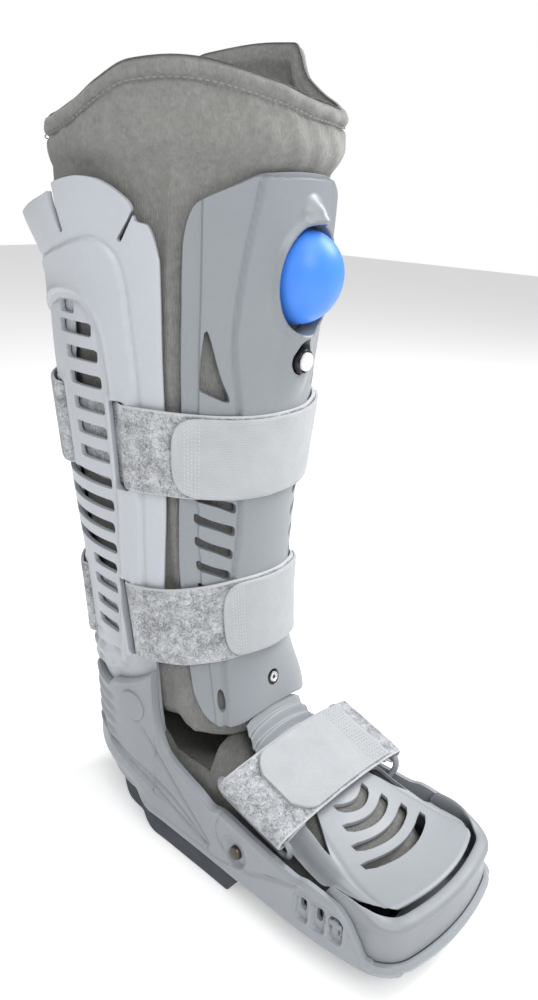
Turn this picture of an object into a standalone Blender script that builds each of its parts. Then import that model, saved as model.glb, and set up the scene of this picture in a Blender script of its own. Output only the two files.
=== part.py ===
"""Tall walking boot: rear shell, shin plate, foot base, foot plate, toe guard, straps and liner.

Metres, +Z up, toe towards -Y. Modelled about the leg's axis, then moved so that the origin is
at the middle of the bottom of the whole boot.
"""

import math
from collections import namedtuple

import bmesh
import bpy
from mathutils import Matrix, Vector

# Leg column: the oval that the shell and the shin plate follow, on their outer face.
COLUMN_HEIGHT = 0.430
CALF_HALF_WIDTH = 0.082
CALF_HALF_DEPTH = 0.080
CORNER_BULGE = 0.009
SHELL_WALL = 0.003
CLEARANCE = 0.0004

# Rear shell.
SHELL_TOP = 0.400
SHELL_FLARE = 0.012
WING_TOP = 0.132
CUP_TOP = 0.096
LUG_BOTTOM = 0.078
VENT_PITCH = 0.014
VENT_HEIGHT = 0.0066
VENT_TOP = 0.335
SLIT_WIDTH = 0.0022

# Shin plate, bulb and valve.
SHIN_TOP = 0.406
SHIN_BOTTOM = 0.104
BULB_HEIGHT = 0.355
BULB_HALF_WIDTH = 0.0205
BULB_HALF_LENGTH = 0.0250
BULB_RISE = 0.022
BULB_ANGLE = 4.0
BULB_GAP = 0.0012
VALVE_DROP = 0.043
VALVE_HEIGHT = BULB_HEIGHT - VALVE_DROP
VALVE_ANGLE = 5.0
VALVE_RADIUS = 0.0072
VALVE_RISE = 0.0085
BUTTON_RADIUS = 0.0048
BUTTON_TRAVEL = 0.0015

# Foot base.
TOE_REACH = 0.2045
TOE_TURN = 14.0
TOE_CORNER = 0.024
FOOT_HALF_WIDTH = 0.059
BASE_WALL = 0.003
BASE_BOTTOM = 0.018
FLOOR_THICKNESS = 0.003
HEEL_TUCK = 0.009
RAIL_HEIGHT = 0.052
TOE_LIP = 0.025
LATCH_PITCH = 0.011
LATCH_FRONT = 0.163
LATCH_HEIGHT = 0.038
SLOT_WIDTH = 0.0044
SLOT_LENGTH = 0.0092

# Sole and footbed.
SOLE_INSET = 0.0035
ROCKER_RISE = 0.0146
FOOTBED_THICKNESS = 0.0036
FOOTBED_REACH = 0.176

# Plate over the foot.
PLATE_WALL = 0.0025
PLATE_TOP = 0.1025
PLATE_HALF_WIDTH = 0.0485
PLATE_REACH = 0.193
PLATE_START = 0.0645
PLATE_BOW = 0.011
PLATE_ARCH = 0.004
BELLOWS_DEPTH = 0.0012
ARC_WIDTH = 0.0056

# Toe guard.
GUARD_TOP = 0.0485
GUARD_RIM = 0.0065
GUARD_ARM_END = 0.152
GUARD_ARM_RISE = 0.006

# Straps.
STRAP_WIDTH = 0.048
STRAP_THICKNESS = 0.002
TAB_THICKNESS = 0.0015
TAB_WIDTH = 0.045
CALF_STRAP_HEIGHT = 0.264
ANKLE_STRAP_HEIGHT = 0.1555
FOOT_STRAP_REACH = 0.104
FOOT_STRAP_CROWN = 0.0838
FOOT_STRAP_SLOPE = 20.0
ROLL_REACH = 0.0535
ROLL_DROP = 0.012
ROLL_RADIUS = 0.0048
LOOP_BAR = 0.0019
LOOP_LENGTH = 0.056
LOOP_DROP = 0.0155

# Fastenings.
RIVET_RADIUS = 0.004
RIVET_RISE = 0.0016
DISC_RADIUS = 0.010
DISC_RISE = 0.0018
SHIN_RIVET_HEIGHT = 0.120
RAIL_RIVET_REACH = 0.088
RAIL_RIVET_HEIGHT = 0.038
DISC_HEIGHT = 0.092

# Liner.
LINER_TOP = 0.478
LINER_WALL = 0.009
LINER_BOTTOM = 0.088
BOOTIE_WALL = 0.005
BOOTIE_REACH = 0.168
BOOTIE_RIM = 0.086
BOOTIE_SIDE = 0.066

# Each height is a share of COLUMN_HEIGHT, width of CALF_HALF_WIDTH, depth and shift of
# CALF_HALF_DEPTH.
LegSection = namedtuple("LegSection", "height width depth shift")
LEG_SECTIONS = (
    LegSection(0.140, 0.585, 0.900, 0.025),
    LegSection(0.233, 0.610, 0.875, 0.075),
    LegSection(0.302, 0.634, 0.863, 0.113),
    LegSection(0.395, 0.683, 0.850, 0.150),
    LegSection(0.488, 0.756, 0.863, 0.175),
    LegSection(0.581, 0.817, 0.900, 0.188),
    LegSection(0.698, 0.890, 0.950, 0.188),
    LegSection(0.814, 0.951, 0.975, 0.163),
    LegSection(0.907, 0.988, 0.988, 0.150),
    LegSection(1.000, 1.000, 1.000, 0.150),
)

# Reach is a share of TOE_REACH ahead of the leg's axis, width of FOOT_HALF_WIDTH.
FootSection = namedtuple("FootSection", "reach width")
FOOT_SECTIONS = (
    FootSection(0.00, 0.814),
    FootSection(0.24, 0.864),
    FootSection(0.49, 0.940),
    FootSection(0.73, 1.000),
    FootSection(0.86, 0.983),
    FootSection(1.00, 0.940),
)

# Rail's top edge ahead of the wing: reach in shares of TOE_REACH, height in shares of RAIL_HEIGHT.
RailPoint = namedtuple("RailPoint", "reach height")
RAIL_EDGE = (
    RailPoint(0.090, 1.58),
    RailPoint(0.125, 1.37),
    RailPoint(0.200, 1.25),
    RailPoint(0.270, 1.17),
    RailPoint(0.325, 1.09),
    RailPoint(0.365, 1.12),
    RailPoint(0.480, 1.06),
    RailPoint(0.600, 1.00),
    RailPoint(0.655, 0.98),
    RailPoint(0.690, 1.01),
    RailPoint(0.745, 0.99),
    RailPoint(0.790, 0.96),
    RailPoint(0.825, 0.86),
    RailPoint(0.853, 0.71),
    RailPoint(0.887, 0.51),
)

# Edges by angle round the leg, in degrees from the front; heights in shares of the named top.
EdgePoint = namedtuple("EdgePoint", "angle height")
SHELL_EDGE = (
    EdgePoint(54.0, 0.875),
    EdgePoint(56.0, 0.910),
    EdgePoint(59.0, 0.940),
    EdgePoint(62.0, 0.953),
    EdgePoint(66.0, 0.962),
    EdgePoint(70.0, 0.977),
    EdgePoint(77.0, 0.992),
    EdgePoint(88.0, 1.000),
    EdgePoint(100.0, 0.995),
    EdgePoint(112.0, 0.978),
    EdgePoint(121.0, 0.965),
    EdgePoint(130.0, 0.946),
    EdgePoint(150.0, 0.940),
    EdgePoint(180.0, 0.940),
)
SHIN_TOP_EDGE = (
    EdgePoint(0.0, 1.000),
    EdgePoint(18.0, 0.994),
    EdgePoint(30.0, 0.980),
    EdgePoint(39.0, 0.966),
    EdgePoint(42.5, 0.958),
    EdgePoint(45.0, 0.941),
    EdgePoint(47.0, 0.900),
)
SHIN_BOTTOM_EDGE = (
    EdgePoint(0.0, 1.00),
    EdgePoint(16.0, 0.99),
    EdgePoint(30.0, 0.96),
    EdgePoint(38.0, 0.955),
    EdgePoint(43.0, 0.975),
    EdgePoint(47.0, 1.03),
    EdgePoint(49.0, 1.10),
    EdgePoint(51.0, 1.25),
)
# The liner's rim, all the way round: it stands higher on the +X side.
LINER_EDGE = (
    EdgePoint(-180.0, 0.900),
    EdgePoint(-145.0, 0.892),
    EdgePoint(-110.0, 0.897),
    EdgePoint(-92.0, 0.908),
    EdgePoint(-79.0, 0.926),
    EdgePoint(-65.0, 0.943),
    EdgePoint(-48.0, 0.948),
    EdgePoint(-15.0, 0.933),
    EdgePoint(5.0, 0.921),
    EdgePoint(30.0, 0.917),
    EdgePoint(58.0, 0.932),
    EdgePoint(77.0, 0.960),
    EdgePoint(85.0, 0.998),
    EdgePoint(98.0, 1.000),
    EdgePoint(130.0, 0.986),
    EdgePoint(145.0, 0.955),
    EdgePoint(160.0, 0.920),
    EdgePoint(180.0, 0.900),
)

# Side edges by height in shares of COLUMN_HEIGHT.
SideEdge = namedtuple("SideEdge", "height angle")
SHELL_FRONT = (
    SideEdge(0.18, 74.0),
    SideEdge(0.30, 72.0),
    SideEdge(0.335, 67.0),
    SideEdge(0.42, 60.0),
    SideEdge(0.55, 54.7),
    SideEdge(0.665, 54.0),
    SideEdge(0.82, 54.8),
    SideEdge(0.95, 55.5),
)
SHIN_SIDE = (
    SideEdge(0.20, 51.0),
    SideEdge(0.42, 51.0),
    SideEdge(0.52, 49.0),
    SideEdge(0.68, 47.0),
    SideEdge(0.95, 47.0),
)

# Vents on each side: rows below the top one, and the angles between which the wall is cut.
VentRow = namedtuple("VentRow", "row front rear")
VENT_ROWS = (
    VentRow(0.0, 94.0, 106.0),
    VentRow(0.8, 85.0, 108.0),
    VentRow(1.75, 83.0, 103.0),
    VentRow(2.75, 82.0, 102.0),
    VentRow(3.75, 82.0, 101.0),
    VentRow(4.75, 82.0, 101.0),
    VentRow(5.75, 82.0, 101.0),
    VentRow(7.00, 82.0, 127.0),
    VentRow(7.93, 82.0, 127.0),
    VentRow(8.86, 83.5, 127.0),
    VentRow(9.79, 84.5, 127.0),
    VentRow(10.72, 88.0, 108.0),
    VentRow(11.70, 90.0, 110.0),
    VentRow(12.75, 92.0, 112.0),
    VentRow(13.75, 94.0, 113.0),
)

# Centre line of the foot plate: reach in shares of PLATE_REACH, height in shares of PLATE_TOP,
# half width in shares of PLATE_HALF_WIDTH, skirt in shares of PLATE_TOP below the centre line.
PlateSection = namedtuple("PlateSection", "reach height width skirt")
PLATE_SECTIONS = (
    PlateSection(0.334, 1.000, 0.50, 0.06),
    PlateSection(0.373, 0.941, 0.54, 0.07),
    PlateSection(0.415, 0.883, 0.60, 0.08),
    PlateSection(0.466, 0.824, 0.73, 0.10),
    PlateSection(0.518, 0.776, 0.85, 0.13),
    PlateSection(0.570, 0.732, 0.90, 0.16),
    PlateSection(0.622, 0.683, 0.93, 0.17),
    PlateSection(0.674, 0.644, 0.945, 0.165),
    PlateSection(0.725, 0.608, 0.975, 0.14),
    PlateSection(0.777, 0.576, 1.00, 0.11),
    PlateSection(0.830, 0.548, 1.00, 0.050),
    PlateSection(0.881, 0.530, 0.99, 0.035),
    PlateSection(0.933, 0.519, 0.97, 0.025),
    PlateSection(1.000, 0.512, 0.92, 0.015),
)
BELLOWS_ROWS = 9
BELLOWS_END = 0.43

MATERIALS = {
    "outsole": ((0.062, 0.070, 0.080), 0.75),
    "foot_base": ((0.330, 0.345, 0.365), 0.45),
    "footbed": ((0.012, 0.012, 0.013), 0.85),
    "calf_shell": ((0.520, 0.545, 0.580), 0.42),
    "shin_plate": ((0.230, 0.250, 0.268), 0.42),
    "dorsal_plate": ((0.360, 0.375, 0.395), 0.45),
    "toe_guard": ((0.280, 0.292, 0.306), 0.45),
    "toe_latch": ((0.300, 0.312, 0.326), 0.45),
    "strap_loop": ((0.340, 0.352, 0.372), 0.42),
    "bulb": ((0.070, 0.260, 0.820), 0.38),
    "valve_body": ((0.008, 0.008, 0.009), 0.25),
    "valve_button": ((0.900, 0.900, 0.900), 0.30),
    "rivet": ((0.090, 0.085, 0.080), 0.30),
    "ankle_disc": ((0.340, 0.352, 0.370), 0.45),
    "strap": ((0.480, 0.490, 0.495), 0.90),
    "strap_tab": ((0.560, 0.570, 0.580), 0.80),
    "liner": ((0.190, 0.188, 0.178), 0.95),
}


def clear_scene():
    for thing in list(bpy.data.objects):
        bpy.data.objects.remove(thing, do_unlink=True)


def material(name):
    """The piece's own Principled material, made once."""
    made = bpy.data.materials.get(name)
    if made is None:
        made = bpy.data.materials.new(name)
        made.use_nodes = True
        colour, roughness = MATERIALS[name]
        shader = made.node_tree.nodes["Principled BSDF"]
        shader.inputs["Base Color"].default_value = (*colour, 1.0)
        shader.inputs["Roughness"].default_value = roughness
        shader.inputs["Metallic"].default_value = 0.8 if name == "rivet" else 0.0
    return made


def ease(value):
    """0 below 0, 1 above 1, smooth between."""
    value = min(max(value, 0.0), 1.0)
    return value * value * (3.0 - 2.0 * value)


def along_table(rows, at):
    """The second column of a table at a value of its first, joined by a smooth curve."""
    keys = [row[0] for row in rows]
    values = [row[1] for row in rows]
    if at <= keys[0]:
        return values[0]
    if at >= keys[-1]:
        return values[-1]
    i = max(k for k in range(len(keys) - 1) if keys[k] <= at)
    span = keys[i + 1] - keys[i]

    def slope(k):
        if k == 0 or k == len(keys) - 1:
            return 0.0
        before = (values[k] - values[k - 1]) / (keys[k] - keys[k - 1])
        after = (values[k + 1] - values[k]) / (keys[k + 1] - keys[k])
        return 0.0 if before * after <= 0.0 else 2.0 * before * after / (before + after)

    t = (at - keys[i]) / span
    rise, level = 3 * t**2 - 2 * t**3, values[i]
    bend = slope(i) * span * (t**3 - 2 * t**2 + t) + slope(i + 1) * span * (t**3 - t**2)
    return level + (values[i + 1] - level) * rise + bend


def leg_section(height):
    """Half width, half depth and rearward shift of the leg column at a height."""
    share = height / COLUMN_HEIGHT
    width = along_table([(s.height, s.width) for s in LEG_SECTIONS], share)
    depth = along_table([(s.height, s.depth) for s in LEG_SECTIONS], share)
    shift = along_table([(s.height, s.shift) for s in LEG_SECTIONS], share)
    return width * CALF_HALF_WIDTH, depth * CALF_HALF_DEPTH, shift * CALF_HALF_DEPTH


def corner_bulge(angle, height):
    """The front corners above the instep stand out, which squares the leg off there."""
    low = ease((0.145 - height) / 0.045)
    around = abs(angle)
    place = 0.2 + 0.8 * ease(around / 36.0) if around < 40.0 else ease((72.0 - around) / 32.0)
    return CORNER_BULGE * low * place


def leg_point(angle, height, offset):
    """A point at an angle from the front, and so far outside the column's outer face."""
    width, depth, shift = leg_section(height)
    grown = offset + corner_bulge(angle, height)
    turn = math.radians(angle)
    return Vector(
        (
            (width + grown) * math.sin(turn),
            shift - (depth + grown) * math.cos(turn),
            height,
        )
    )


def leg_normal(angle, height, offset=0.0):
    """The column's outward direction there."""
    side = leg_point(angle + 1, height, offset) - leg_point(angle - 1, height, offset)
    up = leg_point(angle, height + 0.002, offset) - leg_point(angle, height - 0.002, offset)
    return side.cross(up).normalized()


def foot_half_width(reach):
    return FOOT_HALF_WIDTH * along_table(FOOT_SECTIONS, reach / TOE_REACH)


def wing_edge(angle):
    """Height of the base's top edge from the wing's front round to the heel's middle."""
    table = ((70.0, WING_TOP), (79.0, WING_TOP * 0.925), (95.0, WING_TOP * 0.82), (111.0, CUP_TOP))
    return along_table(table, angle)


def mesh_object(name, points, faces, material_name, triangles=False):
    mesh = bpy.data.meshes.new(name)
    mesh.from_pydata([tuple(p) for p in points], [], faces)
    work = bmesh.new()
    work.from_mesh(mesh)
    bmesh.ops.remove_doubles(work, verts=work.verts, dist=1e-6)
    if triangles:
        bmesh.ops.triangulate(work, faces=work.faces)
    bmesh.ops.recalc_face_normals(work, faces=work.faces)
    work.to_mesh(mesh)
    work.free()
    thing = bpy.data.objects.new(name, mesh)
    bpy.context.scene.collection.objects.link(thing)
    if material_name:
        mesh.materials.append(material(material_name))
        mesh.shade_smooth()
        mesh.set_sharp_from_angle(angle=math.radians(35))
    return thing


def slab(outer, inner, closed):
    """Points and faces of a wall between two grids of points, rows by columns."""
    rows, columns = len(outer), len(outer[0])
    points = [p for row in outer for p in row] + [p for row in inner for p in row]
    half = rows * columns
    faces = []
    last = columns if closed else columns - 1
    for i in range(rows - 1):
        for j in range(last):
            k = (j + 1) % columns
            a, b, c, d = i * columns + j, i * columns + k, (i + 1) * columns + k, (i + 1) * columns + j
            faces.append((a, b, c, d))
            faces.append((half + d, half + c, half + b, half + a))
    for j in range(last):
        k = (j + 1) % columns
        top = (rows - 1) * columns
        faces.append((half + j, half + k, k, j))
        faces.append((top + j, top + k, half + top + k, half + top + j))
    if not closed:
        for i in range(rows - 1):
            for j in (0, columns - 1):
                a, b = i * columns + j, (i + 1) * columns + j
                faces.append((a, b, half + b, half + a) if j == 0 else (half + a, half + b, b, a))
    return points, faces


def loft(sections, closed):
    """Points and faces through equal closed sections, ends capped unless the loft is closed."""
    count = len(sections[0])
    points = [p for section in sections for p in section]
    faces = []
    for i in range(len(sections) if closed else len(sections) - 1):
        nxt = (i + 1) % len(sections)
        for j in range(count):
            k = (j + 1) % count
            faces.append((i * count + j, i * count + k, nxt * count + k, nxt * count + j))
    if not closed:
        faces.append(tuple(range(count - 1, -1, -1)))
        faces.append(tuple((len(sections) - 1) * count + j for j in range(count)))
    return points, faces


def joined(shapes):
    """One list of points and faces from several."""
    points, faces = [], []
    for more_points, more_faces in shapes:
        start = len(points)
        points.extend(more_points)
        faces.extend(tuple(start + i for i in face) for face in more_faces)
    return points, faces


def combine(thing, shapes, operation="DIFFERENCE"):
    """Cuts the shapes from the object, or joins them to it, all in one Boolean."""
    tool = mesh_object(f"{thing.name}_cutter", *joined(shapes), None)
    tool.hide_render = True
    tool.display_type = "WIRE"
    change = thing.modifiers.new(operation.title(), "BOOLEAN")
    change.operation = operation
    change.solver = "EXACT"
    change.object = tool
    return tool


def leg_prism(outline, low, high):
    """A cutter over an outline of angles and heights, between two offsets from the column."""
    return loft([[leg_point(a, z, low) for a, z in outline], [leg_point(a, z, high) for a, z in outline]], False)


def steps(first, last, count):
    return [first + (last - first) * i / count for i in range(count + 1)]


def strip_outline(front, rear, low, high, most=30.0):
    """A band between two angles, with a point at least every so many degrees."""
    angles = steps(front, rear, max(1, math.ceil(abs(rear - front) / most)))
    return [(a, low) for a in angles] + [(a, high) for a in reversed(angles)]


def round_outline(angle, height, half_width, half_length, count=20, tip=0.0):
    """An oval by angle and height, with an optional pointed top."""
    width = leg_section(height)[0]
    outline = []
    for turn in steps(0.0, 2 * math.pi, count)[:-1]:
        across = half_width * math.cos(turn)
        up = half_length * math.sin(turn) + tip * max(0.0, math.sin(turn)) ** 6
        outline.append((angle + math.degrees(math.asin(across / width)), height + up))
    return outline


def turned(profile, sides=24):
    """A body turned about +Z from radii and heights, from its bottom middle to its top middle."""
    points, faces = [], []
    for radius, height in profile:
        if radius == 0.0:
            points.append([Vector((0, 0, height))])
        else:
            ring = steps(0.0, 2 * math.pi, sides)[:-1]
            points.append([Vector((radius * math.cos(t), radius * math.sin(t), height)) for t in ring])
    starts = [sum(len(ring) for ring in points[:i]) for i in range(len(points))]
    for i in range(len(points) - 1):
        for j in range(sides):
            k = (j + 1) % sides
            low, high = points[i], points[i + 1]
            a, b = (starts[i] + j, starts[i] + k) if len(low) > 1 else (starts[i],) * 2
            c, d = (starts[i + 1] + k, starts[i + 1] + j) if len(high) > 1 else (starts[i + 1],) * 2
            face = tuple(dict.fromkeys((a, b, c, d)))
            if len(face) > 2:
                faces.append(face)
    return [p for ring in points for p in ring], faces


def placed(shape, point, axis):
    """A shape's points moved to a point with its +Z along an axis."""
    turn = axis.to_track_quat("Z", "Y").to_matrix()
    points, faces = shape
    return [point + turn @ Vector(p) for p in points], faces


def calf_shell():
    """The vented rear shell, tucked inside the heel cup and the wings at its bottom."""
    rows = 9
    tuck = BASE_WALL + CLEARANCE
    half = (0.0, 0.12, 0.24, 0.36, 0.47, 0.58, 0.68, 0.77, 0.86, 0.94, 1.0)
    shares = [-s for s in half[:0:-1]] + list(half)

    def edge_angle(height):
        return along_table(SHELL_FRONT, height / COLUMN_HEIGHT)

    def place(share, level):
        side = math.copysign(1.0, share)
        top = SHELL_TOP * along_table(SHELL_EDGE, 180.0 - (180.0 - 56.0) * abs(share))
        guess = 180.0 - (180.0 - 70.0) * abs(share)
        seat = wing_edge(max(guess, 70.0))
        levels = [LUG_BOTTOM, seat + 0.0015, seat + 0.012]
        levels += steps(seat + 0.012, top, rows - 2)[1:]
        height = levels[level]
        angle = 180.0 - (180.0 - edge_angle(height)) * abs(share)
        flare = SHELL_FLARE * ease((height - 0.345) / 0.045) * ease((angle - 70.0) / 50.0)
        inward = tuck * ease((seat + 0.012 - height) / 0.0105)
        return side * angle, height, flare - inward

    outer, inner = [], []
    for level in range(rows + 1):
        cells = [place(-share, level) for share in shares]
        outer.append([leg_point(*cell) for cell in cells])
        inner.append([leg_point(a, z, off - SHELL_WALL) for a, z, off in cells])
    shell = mesh_object("calf_shell", *slab(outer, inner, False), "calf_shell")
    reach = (-3 * SHELL_WALL, SHELL_FLARE + 2 * SHELL_WALL)
    vents, slots = [], []
    for side in (-1, 1):
        for vent in VENT_ROWS:
            middle = VENT_TOP - vent.row * VENT_PITCH
            low, high = middle - VENT_HEIGHT / 2, middle + VENT_HEIGHT / 2
            vents.append(leg_prism(strip_outline(side * vent.front, side * vent.rear, low, high), *reach))
        for strap in (CALF, ANKLE):
            for front, rear in (strap.front_slot, strap.rear_slot):
                middle = strap_middle(strap, (front + rear) / 2)
                half = STRAP_WIDTH / 2 + 0.0015
                band = strip_outline(side * front, side * rear, middle - half, middle + half)
                slots.append(leg_prism(band, *reach))
        for top, bottom, high, low in ((115.0, 100.0, 1.0, 0.935), (63.5, 69.0, 0.9725, 0.9325)):
            half = math.degrees(SLIT_WIDTH / CALF_HALF_WIDTH) / 2
            outline = [
                (side * (top - half), SHELL_TOP * high),
                (side * (bottom - half), SHELL_TOP * low),
                (side * (bottom + half), SHELL_TOP * low),
                (side * (top + half), SHELL_TOP * high),
            ]
            slots.append(leg_prism(outline, *reach))
    combine(shell, vents)
    combine(shell, slots)


Strap = namedtuple("Strap", "name height front_rise rear_drop front_slot rear_slot tab")
CALF = Strap("calf_strap", CALF_STRAP_HEIGHT, -0.004, -0.003, (70.5, 78.5), (109.5, 117.5), (-51.0, 44.0))
ANKLE = Strap("ankle_strap", ANKLE_STRAP_HEIGHT, 0.009, 0.008, (78.5, 86.5), (121.0, 129.5), (-31.0, 46.0))


def strap_middle(strap, angle):
    """Height of a leg strap's middle line at an angle."""
    around = abs(angle)
    front = strap.front_rise * ease((75.0 - around) / 65.0)
    return strap.height + front - strap.rear_drop * ease((around - 90.0) / 35.0)


def strap_offset(strap, angle):
    """How far a leg strap's inner face stands off the column: outside, inside, outside again."""
    around = abs(angle)
    outside = 5 * CLEARANCE
    inside = -(SHELL_WALL + STRAP_THICKNESS + 2 * CLEARANCE)
    front, rear = strap.front_slot, strap.rear_slot
    if around < (front[0] + front[1]) / 2 + 12.0:
        share = (around - front[0] - 0.4) / (front[1] - front[0] - 0.8)
    else:
        share = (rear[1] - 0.4 - around) / (rear[1] - rear[0] - 0.8)
    share = min(max(share, 0.0), 1.0)
    return outside + (inside - outside) * share


def leg_strap(strap):
    """A woven band round the leg, over the shin plate and through the shell's slots."""
    front, rear = strap.front_slot, strap.rear_slot
    half = steps(0.0, front[0] - 7.0, 8) + [front[0] + 0.4, front[1] - 0.4]
    half += steps(front[1] + 7.0, rear[0] - 7.0, 2) + [rear[0] + 0.4, rear[1] - 0.4]
    half += steps(rear[1] + 9.0, 180.0, 5)
    angles = half + [-a for a in reversed(half[1:-1])]
    sections = []
    for angle in angles:
        middle, offset = strap_middle(strap, angle), strap_offset(strap, angle)
        heights = steps(middle - STRAP_WIDTH / 2, middle + STRAP_WIDTH / 2, 2)
        inner = [leg_point(angle, z, offset) for z in heights]
        outer = [leg_point(angle, z, offset + STRAP_THICKNESS) for z in reversed(heights)]
        sections.append(inner + outer)
    mesh_object(strap.name, *loft(sections, True), "strap")


def strap_tab(strap, lift):
    """The hook tab over a leg strap's front, with a round end on the -X side."""
    first, last = strap.tab
    offset = strap_offset(strap, 0.0) + STRAP_THICKNESS + 2 * CLEARANCE
    round_end = 14.0
    angles = [first + round_end * s for s in (0.0, 0.08, 0.3, 0.6, 1.0)]
    angles += steps(first + round_end, last, 6)[1:]
    outer, inner = [[], [], []], [[], [], []]
    for angle in angles:
        short = max(0.0, 1.0 - (angle - first) / round_end)
        half = TAB_WIDTH / 2 * max(0.35, math.sqrt(1.0 - short * short))
        middle = strap_middle(strap, angle) + lift * (0.5 - (angle - first) / (last - first))
        for row, z in enumerate((middle - half, middle, middle + half)):
            outer[row].append(leg_point(angle, z, offset + TAB_THICKNESS))
            inner[row].append(leg_point(angle, z, offset))
    mesh_object(f"{strap.name}_tab", *slab(outer, inner, False), "strap_tab")


def shin_plate():
    """The front plate with its windows, the bulb's opening and the valve's."""
    half = (0.0, 0.26, 0.50, 0.70, 0.85, 0.95, 1.0)
    shares = [-s for s in half[:0:-1]] + list(half)
    levels = (0.0, 0.035, 0.07, 0.11, 0.15, 0.20, 0.28, 0.38, 0.50, 0.62, 0.74, 0.86, 0.95, 1.0)
    outer, inner = [], []
    for level in levels:
        row = []
        for share in shares:
            nominal = 49.0 * abs(share)
            low = SHIN_BOTTOM * along_table(SHIN_BOTTOM_EDGE, nominal * 51.0 / 49.0)
            high = SHIN_TOP * along_table(SHIN_TOP_EDGE, nominal * 47.0 / 49.0)
            height = low + (high - low) * level
            row.append((share * along_table(SHIN_SIDE, height / COLUMN_HEIGHT), height))
        outer.append([leg_point(a, z, 0.0) for a, z in row])
        inner.append([leg_point(a, z, -SHELL_WALL) for a, z in row])
    plate = mesh_object("shin_plate", *slab(outer, inner, False), "shin_plate", triangles=True)
    reach = (-2 * SHELL_WALL, 2 * SHELL_WALL)
    cuts = []
    for side in (-1, 1):
        window = [(side * 38.0, 0.328), (side * 40.0, 0.299), (side * 27.0, 0.292)]
        cuts.append(leg_prism(window, *reach))
        for row in range(8):
            top = BULB_HEIGHT - 0.065 - row * VENT_PITCH
            rear, front = 40.0, 26.5 + 0.25 * row
            slope = 0.006
            outline = [
                (side * rear, top - VENT_HEIGHT),
                (side * front, top - VENT_HEIGHT - slope),
                (side * front, top - slope),
                (side * rear, top),
            ]
            cuts.append(leg_prism(outline, *reach))
    bulb_hole = round_outline(
        BULB_ANGLE, BULB_HEIGHT - BULB_GAP, BULB_HALF_WIDTH + BULB_GAP, BULB_HALF_LENGTH + 2.5 * BULB_GAP
    )
    valve_hole = round_outline(
        VALVE_ANGLE, VALVE_HEIGHT, VALVE_RADIUS + 0.001, VALVE_RADIUS + 0.0012, 16, 0.004
    )
    cuts += [leg_prism(bulb_hole, *reach), leg_prism(valve_hole, *reach)]
    combine(plate, cuts)


def bulb():
    """The inflation bulb: a dome whose flat back lies on the liner."""
    base = -(SHELL_WALL - 0.0001)
    rings, count = 6, 20
    points = []
    for ring in range(rings):
        turn = math.radians(90.0 * ring / rings)
        reach = math.cos(turn) ** 0.9
        outline = round_outline(
            BULB_ANGLE, BULB_HEIGHT, BULB_HALF_WIDTH * reach, BULB_HALF_LENGTH * reach, count
        )
        rise = base + (BULB_RISE - base) * math.sin(turn)
        points.append([leg_point(a, z, rise) for a, z in outline])
    faces = []
    for ring in range(rings - 1):
        for j in range(count):
            k = (j + 1) % count
            low, high = ring * count, (ring + 1) * count
            faces.append((low + j, low + k, high + k, high + j))
    flat = [p for ring in points for p in ring]
    top, bottom = len(flat), len(flat) + 1
    flat.append(leg_point(BULB_ANGLE, BULB_HEIGHT, BULB_RISE))
    flat.append(leg_point(BULB_ANGLE, BULB_HEIGHT, base))
    for j in range(count):
        k = (j + 1) % count
        faces.append(((rings - 1) * count + j, (rings - 1) * count + k, top))
        faces.append((k, j, bottom))
    mesh_object("bulb", flat, faces, "bulb")


def valve():
    """The release valve on the shin plate, and the push button in its recess."""
    seat = leg_point(VALVE_ANGLE, VALVE_HEIGHT, -(SHELL_WALL - 0.0001))
    axis = leg_normal(VALVE_ANGLE, VALVE_HEIGHT)
    height = VALVE_RISE + SHELL_WALL
    recess = height - 0.0045
    bore = BUTTON_RADIUS + CLEARANCE
    body = [
        (0.0, 0.0),
        (VALVE_RADIUS, 0.0),
        (VALVE_RADIUS, height - 0.0012),
        (VALVE_RADIUS - 0.0012, height),
        (bore, height),
        (bore, recess),
        (0.0, recess),
    ]
    mesh_object("valve_body", *placed(turned(body, 16), seat, axis), "valve_body")
    floor = recess + BUTTON_TRAVEL + CLEARANCE
    rim = height + BUTTON_TRAVEL - 0.0002
    button = [(0.0, floor), (BUTTON_RADIUS, floor), (BUTTON_RADIUS, rim - 0.0004)]
    button += [(BUTTON_RADIUS - 0.0005, rim), (0.0, rim)]
    knob = mesh_object("valve_button", *placed(turned(button, 16), seat, axis), "valve_button")
    set_origin(knob, seat)


def set_origin(thing, point):
    """Moves an object's origin to a point and leaves its shape where it is."""
    thing.data.transform(Matrix.Translation(-point))
    thing.location = point


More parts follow.
